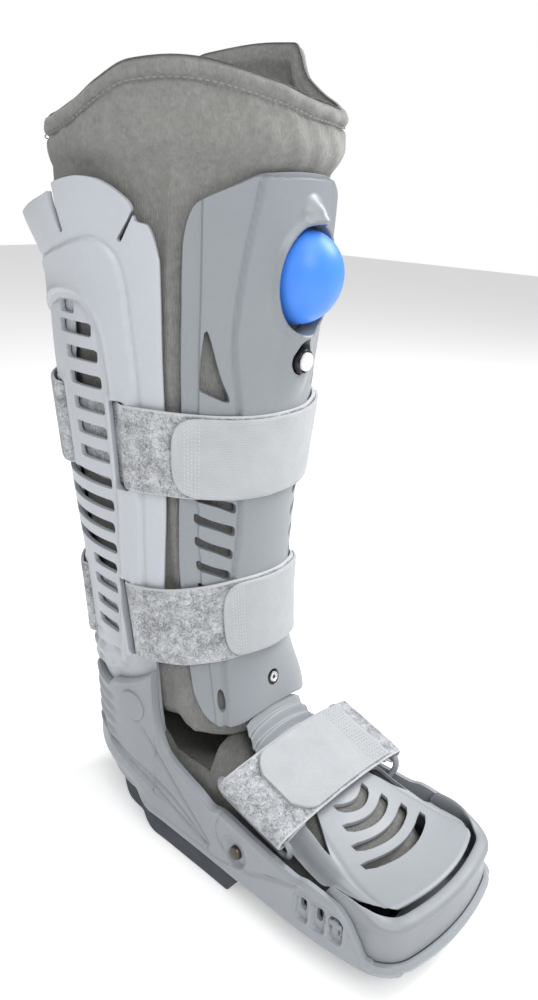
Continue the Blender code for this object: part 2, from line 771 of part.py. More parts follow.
def plan_outline(inset, half_width=foot_half_width, front=TOE_REACH, heel_steps=10):
    """Right half of the foot's plan from the toe's middle to the heel's, so far inside its edge.

    Each point has its plan position and its tag: the reach ahead of the leg's axis, or the angle
    round the leg once past its sides.
    """
    width, depth, shift = leg_section(COLUMN_HEIGHT * LEG_SECTIONS[0].height)
    corner_x = half_width(front - TOE_CORNER) - TOE_CORNER
    bend = math.radians(TOE_TURN)
    bow_x = corner_x + TOE_CORNER * math.sin(bend)
    bow = bow_x * math.tan(bend) / 2
    corner_y = -front + bow + TOE_CORNER * math.cos(bend)
    raw = [Vector((bow_x * s, -front + bow * s**2, 0)) for s in (0.0, 0.35, 0.7)]
    for turn in (90.0 - TOE_TURN, 57.0, 38.0, 19.0, 0.0):
        t = math.radians(turn)
        raw.append(Vector((corner_x + TOE_CORNER * math.cos(t), corner_y - TOE_CORNER * math.sin(t), 0)))
    reaches = [TOE_REACH * row.reach for row in reversed(RAIL_EDGE) if TOE_REACH * row.reach < -corner_y - 0.004]
    reaches += [0.0125, 0.004]
    raw += [Vector((half_width(r), -r, 0)) for r in reaches if r < -corner_y - 0.004]
    for angle in steps(90.0, 180.0, heel_steps):
        t = math.radians(angle)
        raw.append(Vector((width * math.sin(t), shift - depth * math.cos(t), 0)))
    outline = []
    for i, point in enumerate(raw):
        before = raw[i - 1] if i else Vector((-raw[1].x, raw[1].y, 0))
        after = raw[i + 1] if i + 1 < len(raw) else Vector((-raw[i - 1].x, raw[i - 1].y, 0))
        ahead = (after - before).normalized()
        outline.append(point - inset * Vector((ahead.y, -ahead.x, 0)))
    return outline


def rail_top(point):
    """The base's top edge over a plan point: low round the toe, the rail, then the wing."""
    reach = -point.y
    width, depth, shift = leg_section(COLUMN_HEIGHT * LEG_SECTIONS[0].height)
    if reach > TOE_REACH * 0.905:
        return TOE_LIP
    if reach > 0.015:
        return RAIL_HEIGHT * along_table(RAIL_EDGE, reach / TOE_REACH)
    angle = math.degrees(math.atan2(abs(point.x) / width, (reach + shift) / depth))
    return wing_edge(angle)


def base_point(point, height):
    """A plan point lifted to a height: the wing follows the leg, the heel tucks in low down."""
    width, depth, shift = leg_section(COLUMN_HEIGHT * LEG_SECTIONS[0].height)
    lifted = Vector((point.x, point.y, height))
    behind = ease((point.y + 0.010) / 0.030)
    if height > COLUMN_HEIGHT * LEG_SECTIONS[0].height:
        wide, deep, back = leg_section(height)
        part = ease((point.y + 0.030) / 0.030)
        lifted.x *= 1.0 + (wide / width - 1.0) * part
        lifted.y = lifted.y + ((lifted.y - shift) * (deep / depth - 1.0) + back - shift) * behind
        return lifted
    low = ease((0.042 - height) / 0.024) * behind
    centre = Vector((0.0, shift, height))
    return lifted + (centre - lifted).normalized() * HEEL_TUCK * low


def foot_base():
    """Floor, side rails, heel cup and ankle wings in one moulding, with slots for the latches."""
    outside = plan_outline(0.0)
    inside = plan_outline(BASE_WALL)
    floor = BASE_BOTTOM + FLOOR_THICKNESS
    shares = (0.0, 0.2, 0.5, 0.8, 1.0)
    sections = []
    for out, within in zip(outside, inside):
        top = rail_top(out)
        rise = [base_point(out, BASE_BOTTOM + (top - BASE_BOTTOM) * s) for s in shares]
        fall = [base_point(within, floor + (top - floor) * s) for s in reversed(shares)]
        sections.append(rise + fall)
    base = mesh_object("foot_base", *tray(sections), "foot_base")
    cuts = []
    for side in (-1, 1):
        for row in range(3):
            reach = LATCH_FRONT - row * LATCH_PITCH
            middle = Vector((side * foot_half_width(reach), -reach, LATCH_HEIGHT))
            cuts.append(box(middle, (4 * BASE_WALL, SLOT_WIDTH, SLOT_LENGTH)))
    combine(base, cuts)


def tray(half):
    """A body from the cross-sections of its right half: walls of each section, and the floors
    across from one side to the other."""
    mirror = [[Vector((-p.x, p.y, p.z)) for p in section] for section in half]
    count, length = len(half[0]), len(half)
    points = [p for section in half for p in section] + [p for section in mirror for p in section]
    faces = []
    for start in (0, length * count):
        for i in range(length - 1):
            a, b = start + i * count, start + (i + 1) * count
            for k in range(count - 1):
                faces.append((a + k, b + k, b + k + 1, a + k + 1))
    for k in (0, count - 1):
        for i in range(length - 1):
            right, left = i * count + k, length * count + i * count + k
            faces.append((right, right + count, left + count, left))
    return points, faces


def box(middle, size):
    x, y, z = (s / 2 for s in size)
    corners = [Vector((i * x, j * y, -z)) for i, j in ((-1, -1), (1, -1), (1, 1), (-1, 1))]
    low = [middle + c for c in corners]
    return loft([low, [p + Vector((0, 0, 2 * z)) for p in low]], False)


def sole_bottom(reach):
    """Underside of the sole: flat under heel and ball, rising at the heel and to the toe."""
    heel = ease((-0.034 - reach) / 0.022) * (BASE_BOTTOM - 0.003)
    toe = ease((reach - 0.076) / 0.010) * ROCKER_RISE
    return heel + toe


def outsole():
    outline = plan_outline(SOLE_INSET)
    top = BASE_BOTTOM - CLEARANCE
    sections = []
    for point in outline:
        tucked = base_point(point, BASE_BOTTOM)
        low = Vector((tucked.x * 0.98, tucked.y, sole_bottom(-tucked.y)))
        sections.append([low, Vector((tucked.x, tucked.y, top))])
    mesh_object("outsole", *tray(sections), "outsole")


def footbed():
    outline = [p for p in plan_outline(BASE_WALL + CLEARANCE + 0.0004) if -p.y < FOOTBED_REACH]
    low = BASE_BOTTOM + FLOOR_THICKNESS + CLEARANCE
    nose = Vector((0.0, -FOOTBED_REACH, 0.0))
    shoulder = Vector((outline[0].x * 0.7, -FOOTBED_REACH + 0.002, 0.0))
    sections = []
    for point in [nose, shoulder] + outline:
        tucked = base_point(point, low + FOOTBED_THICKNESS / 2) * 1.0
        inner = Vector((tucked.x * 0.97, tucked.y * 0.985, low))
        sections.append([inner, Vector((inner.x, inner.y, low + FOOTBED_THICKNESS))])
    mesh_object("footbed", *tray(sections), "footbed")


def guard_half_width(reach):
    """Half width that the guard may have so that it clears the rails all along its travel."""
    travel = 2 * LATCH_PITCH
    return min(foot_half_width(reach), foot_half_width(reach - travel))


GuardPoint = namedtuple("GuardPoint", "inset height")
# Across the guard from its outer foot over its rim to its inner foot. Insets are shares of
# GUARD_RIM, heights shares of the guard's own height.
TOE_PROFILE = (
    GuardPoint(0.00, 0.00),
    GuardPoint(0.00, 0.62),
    GuardPoint(-0.18, 0.80),
    GuardPoint(0.45, 0.97),
    GuardPoint(1.00, 1.00),
    GuardPoint(1.00, 0.92),
    GuardPoint(0.50, 0.74),
    GuardPoint(0.38, 0.00),
)
ARM_PROFILE = (
    GuardPoint(0.00, 0.00),
    GuardPoint(0.00, 0.50),
    GuardPoint(0.00, 0.88),
    GuardPoint(0.08, 1.00),
    GuardPoint(0.30, 1.00),
    GuardPoint(0.38, 0.88),
    GuardPoint(0.38, 0.50),
    GuardPoint(0.38, 0.00),
)


def toe_guard():
    """U-shaped guard inside the rails, with a sloping rim round the toe and two arms."""
    low = TOE_LIP + CLEARANCE
    outside = plan_outline(BASE_WALL + CLEARANCE, guard_half_width)
    inside = plan_outline(BASE_WALL + CLEARANCE + GUARD_RIM, guard_half_width)
    half = []
    for out, within in zip(outside, inside):
        reach = -out.y
        if reach < GUARD_ARM_END:
            break
        arm = ease((TOE_REACH * 0.93 - reach) / 0.022)
        top = GUARD_TOP + GUARD_ARM_RISE * ease((TOE_REACH - 0.012 - reach) / 0.030)
        section = []
        for toe, side in zip(TOE_PROFILE, ARM_PROFILE):
            inset = toe.inset + (side.inset - toe.inset) * arm
            share = toe.height + (side.height - toe.height) * arm
            plan = out + (within - out) * inset
            section.append(Vector((plan.x, plan.y, low + (top - low) * share)))
        half.append(section)
    tip = [Vector((p.x, -GUARD_ARM_END, low + (p.z - low) * 0.88)) for p in half[-1]]
    half.append(tip)
    left = [[Vector((-p.x, p.y, p.z)) for p in section] for section in half[1:]]
    guard = mesh_object("toe_guard", *loft(half[::-1] + left, False), "toe_guard")
    set_origin(guard, Vector((0.0, -TOE_REACH, TOE_LIP)))


def toe_latch(side, name):
    """A latch of the toe guard: its stem fills the front slot of a rail, its bar lies outside."""
    reach = LATCH_FRONT
    wall = foot_half_width(reach)
    stem_width, stem_length = SLOT_WIDTH - 2 * CLEARANCE, SLOT_LENGTH - 2 * CLEARANCE
    inner = wall - BASE_WALL - CLEARANCE / 2
    outer = wall + CLEARANCE + 0.0002
    bar = 0.0012
    stem = box(
        Vector((side * (inner + outer + bar) / 2, -reach, LATCH_HEIGHT)),
        (outer + bar - inner, stem_width, stem_length),
    )
    latch = mesh_object(name, *stem, "toe_latch")
    head = box(
        Vector((side * (outer + bar / 2 + 0.0001), -reach, LATCH_HEIGHT + stem_length * 0.22)),
        (bar, stem_width + 0.0044, stem_length * 0.36),
    )
    combine(latch, [head], "UNION")
    set_origin(latch, Vector((side * wall, -reach, LATCH_HEIGHT)))


def plate_row(reach_share):
    """Centre height, half width and skirt depth of the foot plate at a share of its reach."""
    height = PLATE_TOP * along_table([(s.reach, s.height) for s in PLATE_SECTIONS], reach_share)
    width = PLATE_HALF_WIDTH * along_table([(s.reach, s.width) for s in PLATE_SECTIONS], reach_share)
    skirt = PLATE_TOP * along_table([(s.reach, s.skirt) for s in PLATE_SECTIONS], reach_share)
    return height, width, skirt


def plate_point(reach_share, across, lower=0.0):
    """A point on the foot plate, at a share of its reach and of its half width."""
    height, width, skirt = plate_row(reach_share)
    front = ease((reach_share - 0.60) / 0.40)
    y = -PLATE_REACH * reach_share + PLATE_BOW * front * across**2
    whole = PLATE_ARCH * (1.0 - 0.6 * front)
    lower *= 1.0 - 0.4 * front
    arch = whole * min(abs(across) / 0.8, 1.0) ** 2
    fall = (skirt - whole) * max(0.0, (abs(across) - 0.8) / 0.2)
    spread = min(abs(across), 0.8) / 0.8 * 0.86 + 0.14 * max(0.0, (abs(across) - 0.8) / 0.2)
    pinch = lower * ease((abs(across) - 0.7) / 0.2)
    x = math.copysign(width * spread - pinch, across) if across else 0.0
    drop = lower * (1.0 - 0.4 * ease((abs(across) - 0.8) / 0.15))
    return Vector((x, y, height - arch - fall - drop))


def dorsal_plate():
    """The cover over the foot: bellows at its top, curved slots and side windows."""
    across = (-1.0, -0.9, -0.8, -0.55, -0.28, 0.0, 0.28, 0.55, 0.8, 0.9, 1.0)
    first = PLATE_START / PLATE_REACH
    bellows = steps(first, BELLOWS_END, BELLOWS_ROWS - 1)
    reaches = bellows + steps(BELLOWS_END, 1.0, 8)[1:]
    outer, inner = [], []
    for i, reach in enumerate(reaches):
        ridge = BELLOWS_DEPTH if i < BELLOWS_ROWS - 1 and i % 2 else 0.0
        lift = Vector((0.0, 0.0, ridge))
        outer.append([plate_point(reach, s) + lift for s in across])
        inner.append([plate_point(reach, s, PLATE_WALL) + lift for s in across])
    plate = mesh_object("dorsal_plate", *slab(outer, inner, False), "dorsal_plate")
    cuts = []
    for row in range(4):
        middle = 0.655 + 0.0585 * row
        half = 0.30 + 0.095 * row
        low, high = [], []
        for s in steps(-half, half, 4):
            bend = 0.030 * (1.0 - (s / half) ** 2)
            for edge, sign in ((low, -1), (high, 1)):
                share = middle + bend + sign * ARC_WIDTH / 2 / PLATE_REACH
                edge.append(plate_point(share, s))
        ring = low + high[::-1]
        cuts.append(loft([[p - Vector((0, 0, 0.008)) for p in ring], [p + Vector((0, 0, 0.008)) for p in ring]], False))
    for side in (-1, 1):
        corners = ((0.60, 0.50), (0.62, 0.72), (0.735, 0.74))
        ring = [plate_point(r, side * s) for r, s in corners]
        cuts.append(loft([[p - Vector((0, 0, 0.008)) for p in ring], [p + Vector((0, 0, 0.008)) for p in ring]], False))
    combine(plate, cuts)


def strap_frame(x, rise, along):
    """A point of the foot strap: across, off its middle plane, and along its width to the toe."""
    slope = math.radians(FOOT_STRAP_SLOPE)
    middle = Vector((0.0, -FOOT_STRAP_REACH, FOOT_STRAP_CROWN))
    forward = Vector((0.0, -math.cos(slope), -math.sin(slope)))
    up = Vector((0.0, -math.sin(slope), math.cos(slope)))
    return middle + Vector((x, 0, 0)) + rise * up + along * forward


def strap_arch(x):
    return -(ROLL_DROP - ROLL_RADIUS) * (x / ROLL_REACH) ** 2


def foot_strap():
    """The band over the foot, folded round the bar of a loop on each side."""
    path = []
    for turn in steps(-90.0, 90.0, 6):
        t = math.radians(turn)
        path.append((ROLL_REACH + ROLL_RADIUS * math.cos(t), -ROLL_DROP + ROLL_RADIUS * math.sin(t)))
    under = (ROLL_REACH - 0.012, strap_arch(ROLL_REACH - 0.012) - STRAP_THICKNESS - CLEARANCE - 0.0006)
    path.insert(0, under)
    path += [(x, strap_arch(x)) for x in steps(ROLL_REACH * 0.85, 0.0, 5)]
    whole = path + [(-x, h) for x, h in reversed(path[:-1])]
    left, right = [], []
    for i, (x, h) in enumerate(whole):
        before, after = whole[max(i - 1, 0)], whole[min(i + 1, len(whole) - 1)]
        ahead = Vector((after[0] - before[0], after[1] - before[1])).normalized()
        side = Vector((-ahead.y, ahead.x)) * STRAP_THICKNESS / 2
        left.append((x + side.x, h + side.y))
        right.append((x - side.x, h - side.y))
    ring = left + right[::-1]
    half = STRAP_WIDTH / 2
    quads = []
    count = len(whole)
    points = [strap_frame(x, h, -half) for x, h in ring] + [strap_frame(x, h, half) for x, h in ring]
    total = len(ring)
    for i in range(total):
        k = (i + 1) % total
        quads.append((i, k, total + k, total + i))
    for i in range(count - 1):
        a, b, c, d = i, i + 1, total - 2 - i, total - 1 - i
        quads.append((a, b, c, d))
        quads.append((total + d, total + c, total + b, total + a))
    mesh_object("foot_strap", points, quads, "strap")


def foot_strap_tab():
    """The hook tab on top of the foot strap, its -X end cut to a blunt point."""
    lift = STRAP_THICKNESS / 2 + CLEARANCE + 0.0002
    half = TAB_WIDTH / 2
    outer, inner = [[], [], []], [[], [], []]
    for x, share in ((-0.040, 0.45), (-0.034, 0.8), (-0.028, 1.0), (-0.016, 1.0), (0.0, 1.0), (0.016, 1.0), (0.030, 1.0), (0.042, 1.0)):
        for row, along in enumerate((-half * share, 0.0, half * share)):
            outer[row].append(strap_frame(x, strap_arch(x) + lift + TAB_THICKNESS, along))
            inner[row].append(strap_frame(x, strap_arch(x) + lift, along))
    mesh_object("foot_strap_tab", *slab(outer, inner, False), "strap_tab")


def strap_loop(side, name):
    """A bar bent to a long ring; the foot strap folds round its upper run."""
    half = LOOP_LENGTH / 2
    corner = 0.006
    path = []
    for cx, cy, first in ((1, 1, 0.0), (-1, 1, 90.0), (-1, -1, 180.0), (1, -1, 270.0)):
        for turn in (first, first + 45.0, first + 90.0):
            t = math.radians(turn)
            along = cx * (half - corner) + corner * math.cos(t)
            down = LOOP_DROP / 2 + cy * (LOOP_DROP / 2 - corner) + corner * math.sin(t)
            path.append((along, down))
    sections = []
    for i, (along, down) in enumerate(path):
        before, after = path[i - 1], path[(i + 1) % len(path)]
        ahead = Vector((after[0] - before[0], after[1] - before[1])).normalized()
        out = Vector((ahead.y, -ahead.x))
        ring = []
        for turn in steps(0.0, 360.0, 6)[:-1]:
            t = math.radians(turn)
            thick, width = LOOP_BAR * math.sin(t), LOOP_BAR * math.cos(t)
            a, d = along + out.x * width, down + out.y * width
            lean = side * (ROLL_REACH - 0.34 * d + thick)
            ring.append(strap_frame(lean, -ROLL_DROP - d, a))
        sections.append(ring)
    mesh_object(name, *loft(sections, True), "strap_loop")


def rivet(name, point, axis, radius, rise, material_name):
    """A low domed head standing on a surface."""
    head = [(0.0, 0.0), (radius, 0.0), (radius, rise * 0.35), (radius * 0.72, rise * 0.85), (0.0, rise)]
    thing = mesh_object(name, *turned(head, 12), material_name)
    thing.location = point + axis * (CLEARANCE + 0.0002)
    thing.rotation_euler = axis.to_track_quat("Z", "Y").to_euler()


def fastenings():
    for side, word in ((-1, "left"), (1, "right")):
        width = foot_half_width(RAIL_RIVET_REACH)
        lean = (foot_half_width(RAIL_RIVET_REACH + 0.01) - width) / 0.01
        axis = Vector((side, lean, 0.0)).normalized()
        point = Vector((side * width, -RAIL_RIVET_REACH, RAIL_RIVET_HEIGHT))
        rivet(f"rail_rivet_{word}", point, axis, RIVET_RADIUS, RIVET_RISE, "rivet")
        point = leg_point(side * 90.0, DISC_HEIGHT, 0.0)
        axis = leg_normal(side * 90.0, DISC_HEIGHT)
        rivet(f"ankle_disc_{word}", point, axis, DISC_RADIUS, DISC_RISE, "ankle_disc")
    point = leg_point(0.0, SHIN_RIVET_HEIGHT, 0.0)
    rivet("shin_rivet", point, leg_normal(0.0, SHIN_RIVET_HEIGHT), RIVET_RADIUS, RIVET_RISE, "rivet")


def liner_offset(angle, height):
    """How far the sleeve stands off the column: under the plates, under the shell, free above."""
    around = abs(angle)
    beside = ease((around - 51.0) / 5.0)
    front = -(SHELL_WALL + 3 * CLEARANCE)
    back = front - STRAP_THICKNESS - 2 * CLEARANCE
    low = ease((WING_TOP + 0.018 - height) / 0.012)
    back -= 0.0016 * low
    offset = front + (back - front) * beside
    bare = ease((around - 51.5) / 5.0) * ease((66.0 - around) / 8.0)
    offset += (0.0035 * low) * bare
    free = ease((height - SHIN_TOP - 0.002) / 0.014)
    loose = 0.001 - 0.0055 * ease((around - 50.0) / 60.0)
    return offset + (loose - offset) * free


def liner_leg():
    """The padded sleeve: hollow from its rim to its open bottom at the ankle."""
    angles = steps(-180.0, 180.0, 26)[:-1]
    levels = (0.0, 0.05, 0.11, 0.18, 0.28, 0.42, 0.56, 0.70, 0.82, 0.87, 0.905, 0.97, 1.0)
    outer, inner = [], []
    for level in levels:
        out_row, in_row = [], []
        for angle in angles:
            top = LINER_TOP * along_table(LINER_EDGE, angle)
            reference = LINER_BOTTOM + (0.455 - LINER_BOTTOM) * level
            height = reference + (top - 0.455) * ease((level - 0.87) / 0.13)
            offset = liner_offset(angle, reference if level < 0.88 else 1.0)
            if level == 0.0:
                offset -= 0.003
            if level == 1.0:
                offset -= 0.0025
            out_row.append(leg_point(angle, height, offset))
            thick = LINER_WALL - (0.003 if level in (0.0, 1.0) else 0.0)
            within = min(offset, -SHELL_WALL) if level < 0.87 else offset
            in_row.append(leg_point(angle, height, within - thick))
        outer.append(out_row)
        inner.append(in_row)
    mesh_object("liner_leg", *slab(outer, inner, True), "liner")


BootieSection = namedtuple("BootieSection", "reach top shoulder")
# Reach in shares of BOOTIE_REACH ahead of the leg's axis, heights in shares of BOOTIE_RIM.
BOOTIE_SECTIONS = (
    BootieSection(-0.395, 1.02, 1.00),
    BootieSection(-0.370, 1.02, 1.00),
    BootieSection(-0.300, 1.02, 1.00),
    BootieSection(-0.150, 1.02, 1.00),
    BootieSection(-0.020, 1.02, 0.99),
    BootieSection(0.080, 1.02, 0.85),
    BootieSection(0.130, 1.02, 0.77),
    BootieSection(0.290, 1.02, 0.77),
    BootieSection(0.380, 0.95, 0.74),
    BootieSection(0.450, 0.90, 0.72),
    BootieSection(0.540, 0.86, 0.66),
    BootieSection(0.640, 0.90, 0.60),
    BootieSection(0.740, 0.82, 0.54),
    BootieSection(0.840, 0.74, 0.50),
    BootieSection(0.920, 0.60, 0.46),
    BootieSection(0.975, 0.54, 0.43),
    BootieSection(1.000, 0.47, 0.40),
)


def bootie_half_width(reach):
    """Half width inside the base's walls; the toe and the heel are rounded in plan."""
    width, depth, shift = leg_section(COLUMN_HEIGHT * LEG_SECTIONS[0].height)
    inset = BASE_WALL + SHELL_WALL + 3 * CLEARANCE
    if reach < -shift:
        along = min(0.995, (-reach - shift) / (depth - inset))
        return (width - inset) * math.sqrt(1.0 - along**2)
    toe = ease((reach - BOOTIE_REACH * 0.62) / (BOOTIE_REACH * 0.38))
    inner = foot_half_width(reach) - inset - 0.0035 * ease((reach - 0.05) / 0.06)
    return inner * (1.0 - 0.42 * toe**2.2)


def bootie_form(row):
    """Half width and top height of the bootie's section, kept under the foot plate."""
    reach = row.reach * BOOTIE_REACH
    half, top = bootie_half_width(reach), row.top * BOOTIE_RIM
    if reach < PLATE_START - 0.012:
        return half, top
    height, width, skirt = plate_row(max(reach, PLATE_START) / PLATE_REACH)
    held = ease((width - 0.037) / 0.006)
    half += (min(half, width - PLATE_WALL - 3 * CLEARANCE) - half) * held
    under = height - PLATE_WALL - 2 * CLEARANCE - skirt * (1.0 - held)
    return half, min(top, under)


def bootie(shrink):
    """Sections of the bootie's outer form, or of its hollow when shrunk by the wall."""
    sections = []
    ground = BASE_BOTTOM + FLOOR_THICKNESS + FOOTBED_THICKNESS + 2 * CLEARANCE
    for row in BOOTIE_SECTIONS:
        reach = row.reach * BOOTIE_REACH
        half, top = bootie_form(row)
        half = max(half - shrink, 0.006)
        y = -reach * (BOOTIE_REACH - 1.4 * shrink) / BOOTIE_REACH
        floor = ground + 0.004 * ease((row.reach - 0.9) / 0.1) + 0.010 * ease((-row.reach - 0.28) / 0.12)
        tall = top - floor
        side = (row.shoulder * BOOTIE_RIM - floor) / tall
        low = 0.008 / tall
        ring = [(0.0, 0.0), (0.8, 0.0), (1.0, low), (1.0, 0.2 * low + 0.8 * side), (0.93, side)]
        ring += [(0.72, side + (1.0 - side) * 0.7), (0.36, 0.98), (0.0, 1.0)]
        ring += [(-x, up) for x, up in reversed(ring[1:-1])]
        rise = tall - 2 * shrink
        sections.append([Vector((x * half, y, floor + shrink + up * rise)) for x, up in ring])
    return sections


def liner_foot():
    """The padded bootie: a closed forefoot and open at the ankle, with the same wall all round."""
    outer, inner = bootie(0.0), bootie(BOOTIE_WALL)
    count, length = len(outer[0]), len(outer)
    points = [p for section in outer + inner for p in section]
    half = count * length
    rim, across = 4, count - 4
    open_from = 1
    open_to = next(i for i, row in enumerate(BOOTIE_SECTIONS) if row.reach > 0.25)
    faces = []
    for i in range(length - 1):
        for j in range(count):
            if open_from <= i < open_to and rim <= j < across:
                continue
            k = (j + 1) % count
            a, b, c, d = i * count + j, i * count + k, (i + 1) * count + k, (i + 1) * count + j
            faces.append((a, b, c, d))
            faces.append((half + d, half + c, half + b, half + a))
    for i in (0, length - 1):
        ring = [i * count + j for j in range(count)]
        faces.append(tuple(ring))
        faces.append(tuple(half + p for p in reversed(ring)))
    edge = [(open_from, j) for j in range(rim, across)] + [(i, across) for i in range(open_from, open_to)]
    edge += [(open_to, j) for j in range(across, rim, -1)] + [(i, rim) for i in range(open_to, open_from, -1)]
    for (i, j), (m, n) in zip(edge, edge[1:] + edge[:1]):
        a, b = i * count + j, m * count + n
        faces.append((a, b, half + b, half + a))
    mesh_object("liner_foot", points, faces, "liner")


def centre_on_origin():
    """Moves the whole boot so that the middle of the bottom of its box is the origin."""
    bpy.context.view_layer.update()
    graph = bpy.context.evaluated_depsgraph_get()
    low, high = Vector((9.0, 9.0, 9.0)), Vector((-9.0, -9.0, -9.0))
    shown = [thing for thing in bpy.data.objects if thing.type == "MESH" and not thing.hide_render]
    for thing in shown:
        solid = thing.evaluated_get(graph)
        for vertex in solid.to_mesh().vertices:
            point = solid.matrix_world @ vertex.co
            low = Vector(map(min, low, point))
            high = Vector(map(max, high, point))
        solid.to_mesh_clear()
    boot = bpy.data.objects.new("boot", None)
    bpy.context.scene.collection.objects.link(boot)
    for thing in bpy.data.objects:
        if thing.type == "MESH":
            thing.parent = boot
    boot.location = (-(low.x + high.x) / 2, -(low.y + high.y) / 2, -low.z)
    bpy.context.view_layer.update()


def build():
    clear_scene()
    outsole()
    foot_base()
    footbed()
    calf_shell()
    shin_plate()
    bulb()
    valve()
    dorsal_plate()
    toe_guard()
    for side, word in ((-1, "left"), (1, "right")):
        toe_latch(side, f"toe_latch_{word}")
        strap_loop(side, f"strap_loop_{word}")
    for strap in (CALF, ANKLE):
        leg_strap(strap)
        strap_tab(strap, -0.006)
    foot_strap()
    foot_strap_tab()
    fastenings()
    liner_leg()
    liner_foot()
    centre_on_origin()


build()
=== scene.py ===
import math

import bmesh
import bpy
import numpy as np
from mathutils import Matrix, Vector


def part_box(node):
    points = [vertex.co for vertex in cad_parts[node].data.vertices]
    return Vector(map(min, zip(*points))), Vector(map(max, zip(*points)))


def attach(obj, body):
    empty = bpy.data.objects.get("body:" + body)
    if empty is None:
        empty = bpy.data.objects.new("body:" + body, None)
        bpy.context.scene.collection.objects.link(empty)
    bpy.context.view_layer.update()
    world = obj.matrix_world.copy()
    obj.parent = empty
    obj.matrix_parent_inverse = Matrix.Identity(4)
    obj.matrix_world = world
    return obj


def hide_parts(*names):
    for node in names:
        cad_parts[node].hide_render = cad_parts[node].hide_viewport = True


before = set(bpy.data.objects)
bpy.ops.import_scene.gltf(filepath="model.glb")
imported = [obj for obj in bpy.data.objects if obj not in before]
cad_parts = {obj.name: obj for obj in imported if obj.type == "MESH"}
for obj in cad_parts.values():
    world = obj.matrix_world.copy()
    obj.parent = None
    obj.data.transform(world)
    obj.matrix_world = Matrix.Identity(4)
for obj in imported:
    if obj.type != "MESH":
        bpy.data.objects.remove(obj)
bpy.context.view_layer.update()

# Everything is built in metres about the leg's axis, toe towards -Y, and moved by this much.
legAxis = Vector((0.0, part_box("foot_base")[0][1] + 0.2045, 0.0))
shift = np.array(legAxis)

camera = {
    "place": Vector((-0.373, -0.365, 0.403)),
    "azimuth": -50.23,
    "elevation": 19.57,
    "roll": 2.72,
    "lens": 32.65,
}


def makeCamera(s):
    data = bpy.data.cameras.new("camera")
    data.sensor_fit = "VERTICAL"
    data.sensor_height = 36.0
    data.lens = s["lens"]
    thing = bpy.data.objects.new("camera", data)
    bpy.context.scene.collection.objects.link(thing)
    yaw, pitch = math.radians(s["azimuth"]), math.radians(s["elevation"])
    back = Vector((math.sin(yaw) * math.cos(pitch), -math.cos(yaw) * math.cos(pitch), math.sin(pitch)))
    right = Vector((math.cos(yaw), math.sin(yaw), 0.0))
    up = back.cross(right)
    turn = math.radians(s["roll"])
    tilted = math.cos(turn) * right + math.sin(turn) * up
    upright = -math.sin(turn) * right + math.cos(turn) * up
    turned = Matrix((tilted, upright, back)).transposed().to_4x4()
    thing.matrix_world = Matrix.Translation(s["place"] + legAxis) @ turned
    bpy.context.scene.camera = thing


makeCamera(camera)
print("camera placed")


# Curves and distances shared by every piece.


def unit(value):
    return np.clip(value, 0.0, 1.0)


def ease(value):
    value = unit(value)
    return value * value * (3.0 - 2.0 * value)


# A smooth hill that is 1 at its middle.
def hill(value, middle, width):
    return np.exp(-(((value - middle) / width) ** 2))


def curve(rows, at, column=1):
    keys = np.array([r[0] for r in rows], float)
    values = np.array([r[column] for r in rows], float)
    at = np.clip(at, keys[0], keys[-1])
    rate = np.diff(values) / np.diff(keys)
    slope = np.zeros(len(keys))
    before, after = rate[:-1], rate[1:]
    same = before * after > 0.0
    slope[1:-1][same] = 2.0 * before[same] * after[same] / (before[same] + after[same])
    i = np.clip(np.searchsorted(keys, at, side="right") - 1, 0, len(keys) - 2)
    span = keys[i + 1] - keys[i]
    t = (at - keys[i]) / span
    bend = slope[i] * span * (t**3 - 2 * t**2 + t) + slope[i + 1] * span * (t**3 - t**2)
    return values[i] + (values[i + 1] - values[i]) * (3 * t**2 - 2 * t**3) + bend


# A point of the smooth path that passes b and c, with a before them and d after.
def passing(a, b, c, d, t):
    bend = (2 * a - 5 * b + 4 * c - d) * t**2 + (3 * b - a - 3 * c + d) * t**3
    return 0.5 * (2 * b + (c - a) * t + bend)


# A smooth path through a few points.
def rounded(points, count=10):
    p = np.array(points, float)
    p = np.vstack([2 * p[0] - p[1], p, 2 * p[-1] - p[-2]])
    made = []
    for i in range(1, len(p) - 2):
        for t in np.linspace(0.0, 1.0, count, endpoint=False):
            a, b, c, d = p[i - 1], p[i], p[i + 1], p[i + 2]
            made.append(passing(a, b, c, d, t))
    made.append(p[-2])
    return np.array(made)


def pathDistance(u, v, path):
    best = np.full(np.shape(u), 1e3)
    for (a, b), (c, d) in zip(path, path[1:]):
        size = (c - a) ** 2 + (d - b) ** 2 + 1e-12
        t = unit(((u - a) * (c - a) + (v - b) * (d - b)) / size)
        best = np.minimum(best, np.hypot(u - a - t * (c - a), v - b - t * (d - b)))
    return best


def insideOf(u, v, ring):
    found = np.zeros(np.shape(u), bool)
    for (a, b), (c, d) in zip(ring, np.roll(ring, -1, axis=0)):
        crosses = (b > v) != (d > v)
        with np.errstate(divide="ignore", invalid="ignore"):
            at = a + (v - b) * (c - a) / (d - b if d != b else 1e-12)
        found ^= crosses & (u < at)
    return found


def signedDistance(u, v, ring):
    closed = np.vstack([ring, ring[:1]])
    away = pathDistance(u, v, closed)
    return np.where(insideOf(u, v, ring), away, -away)


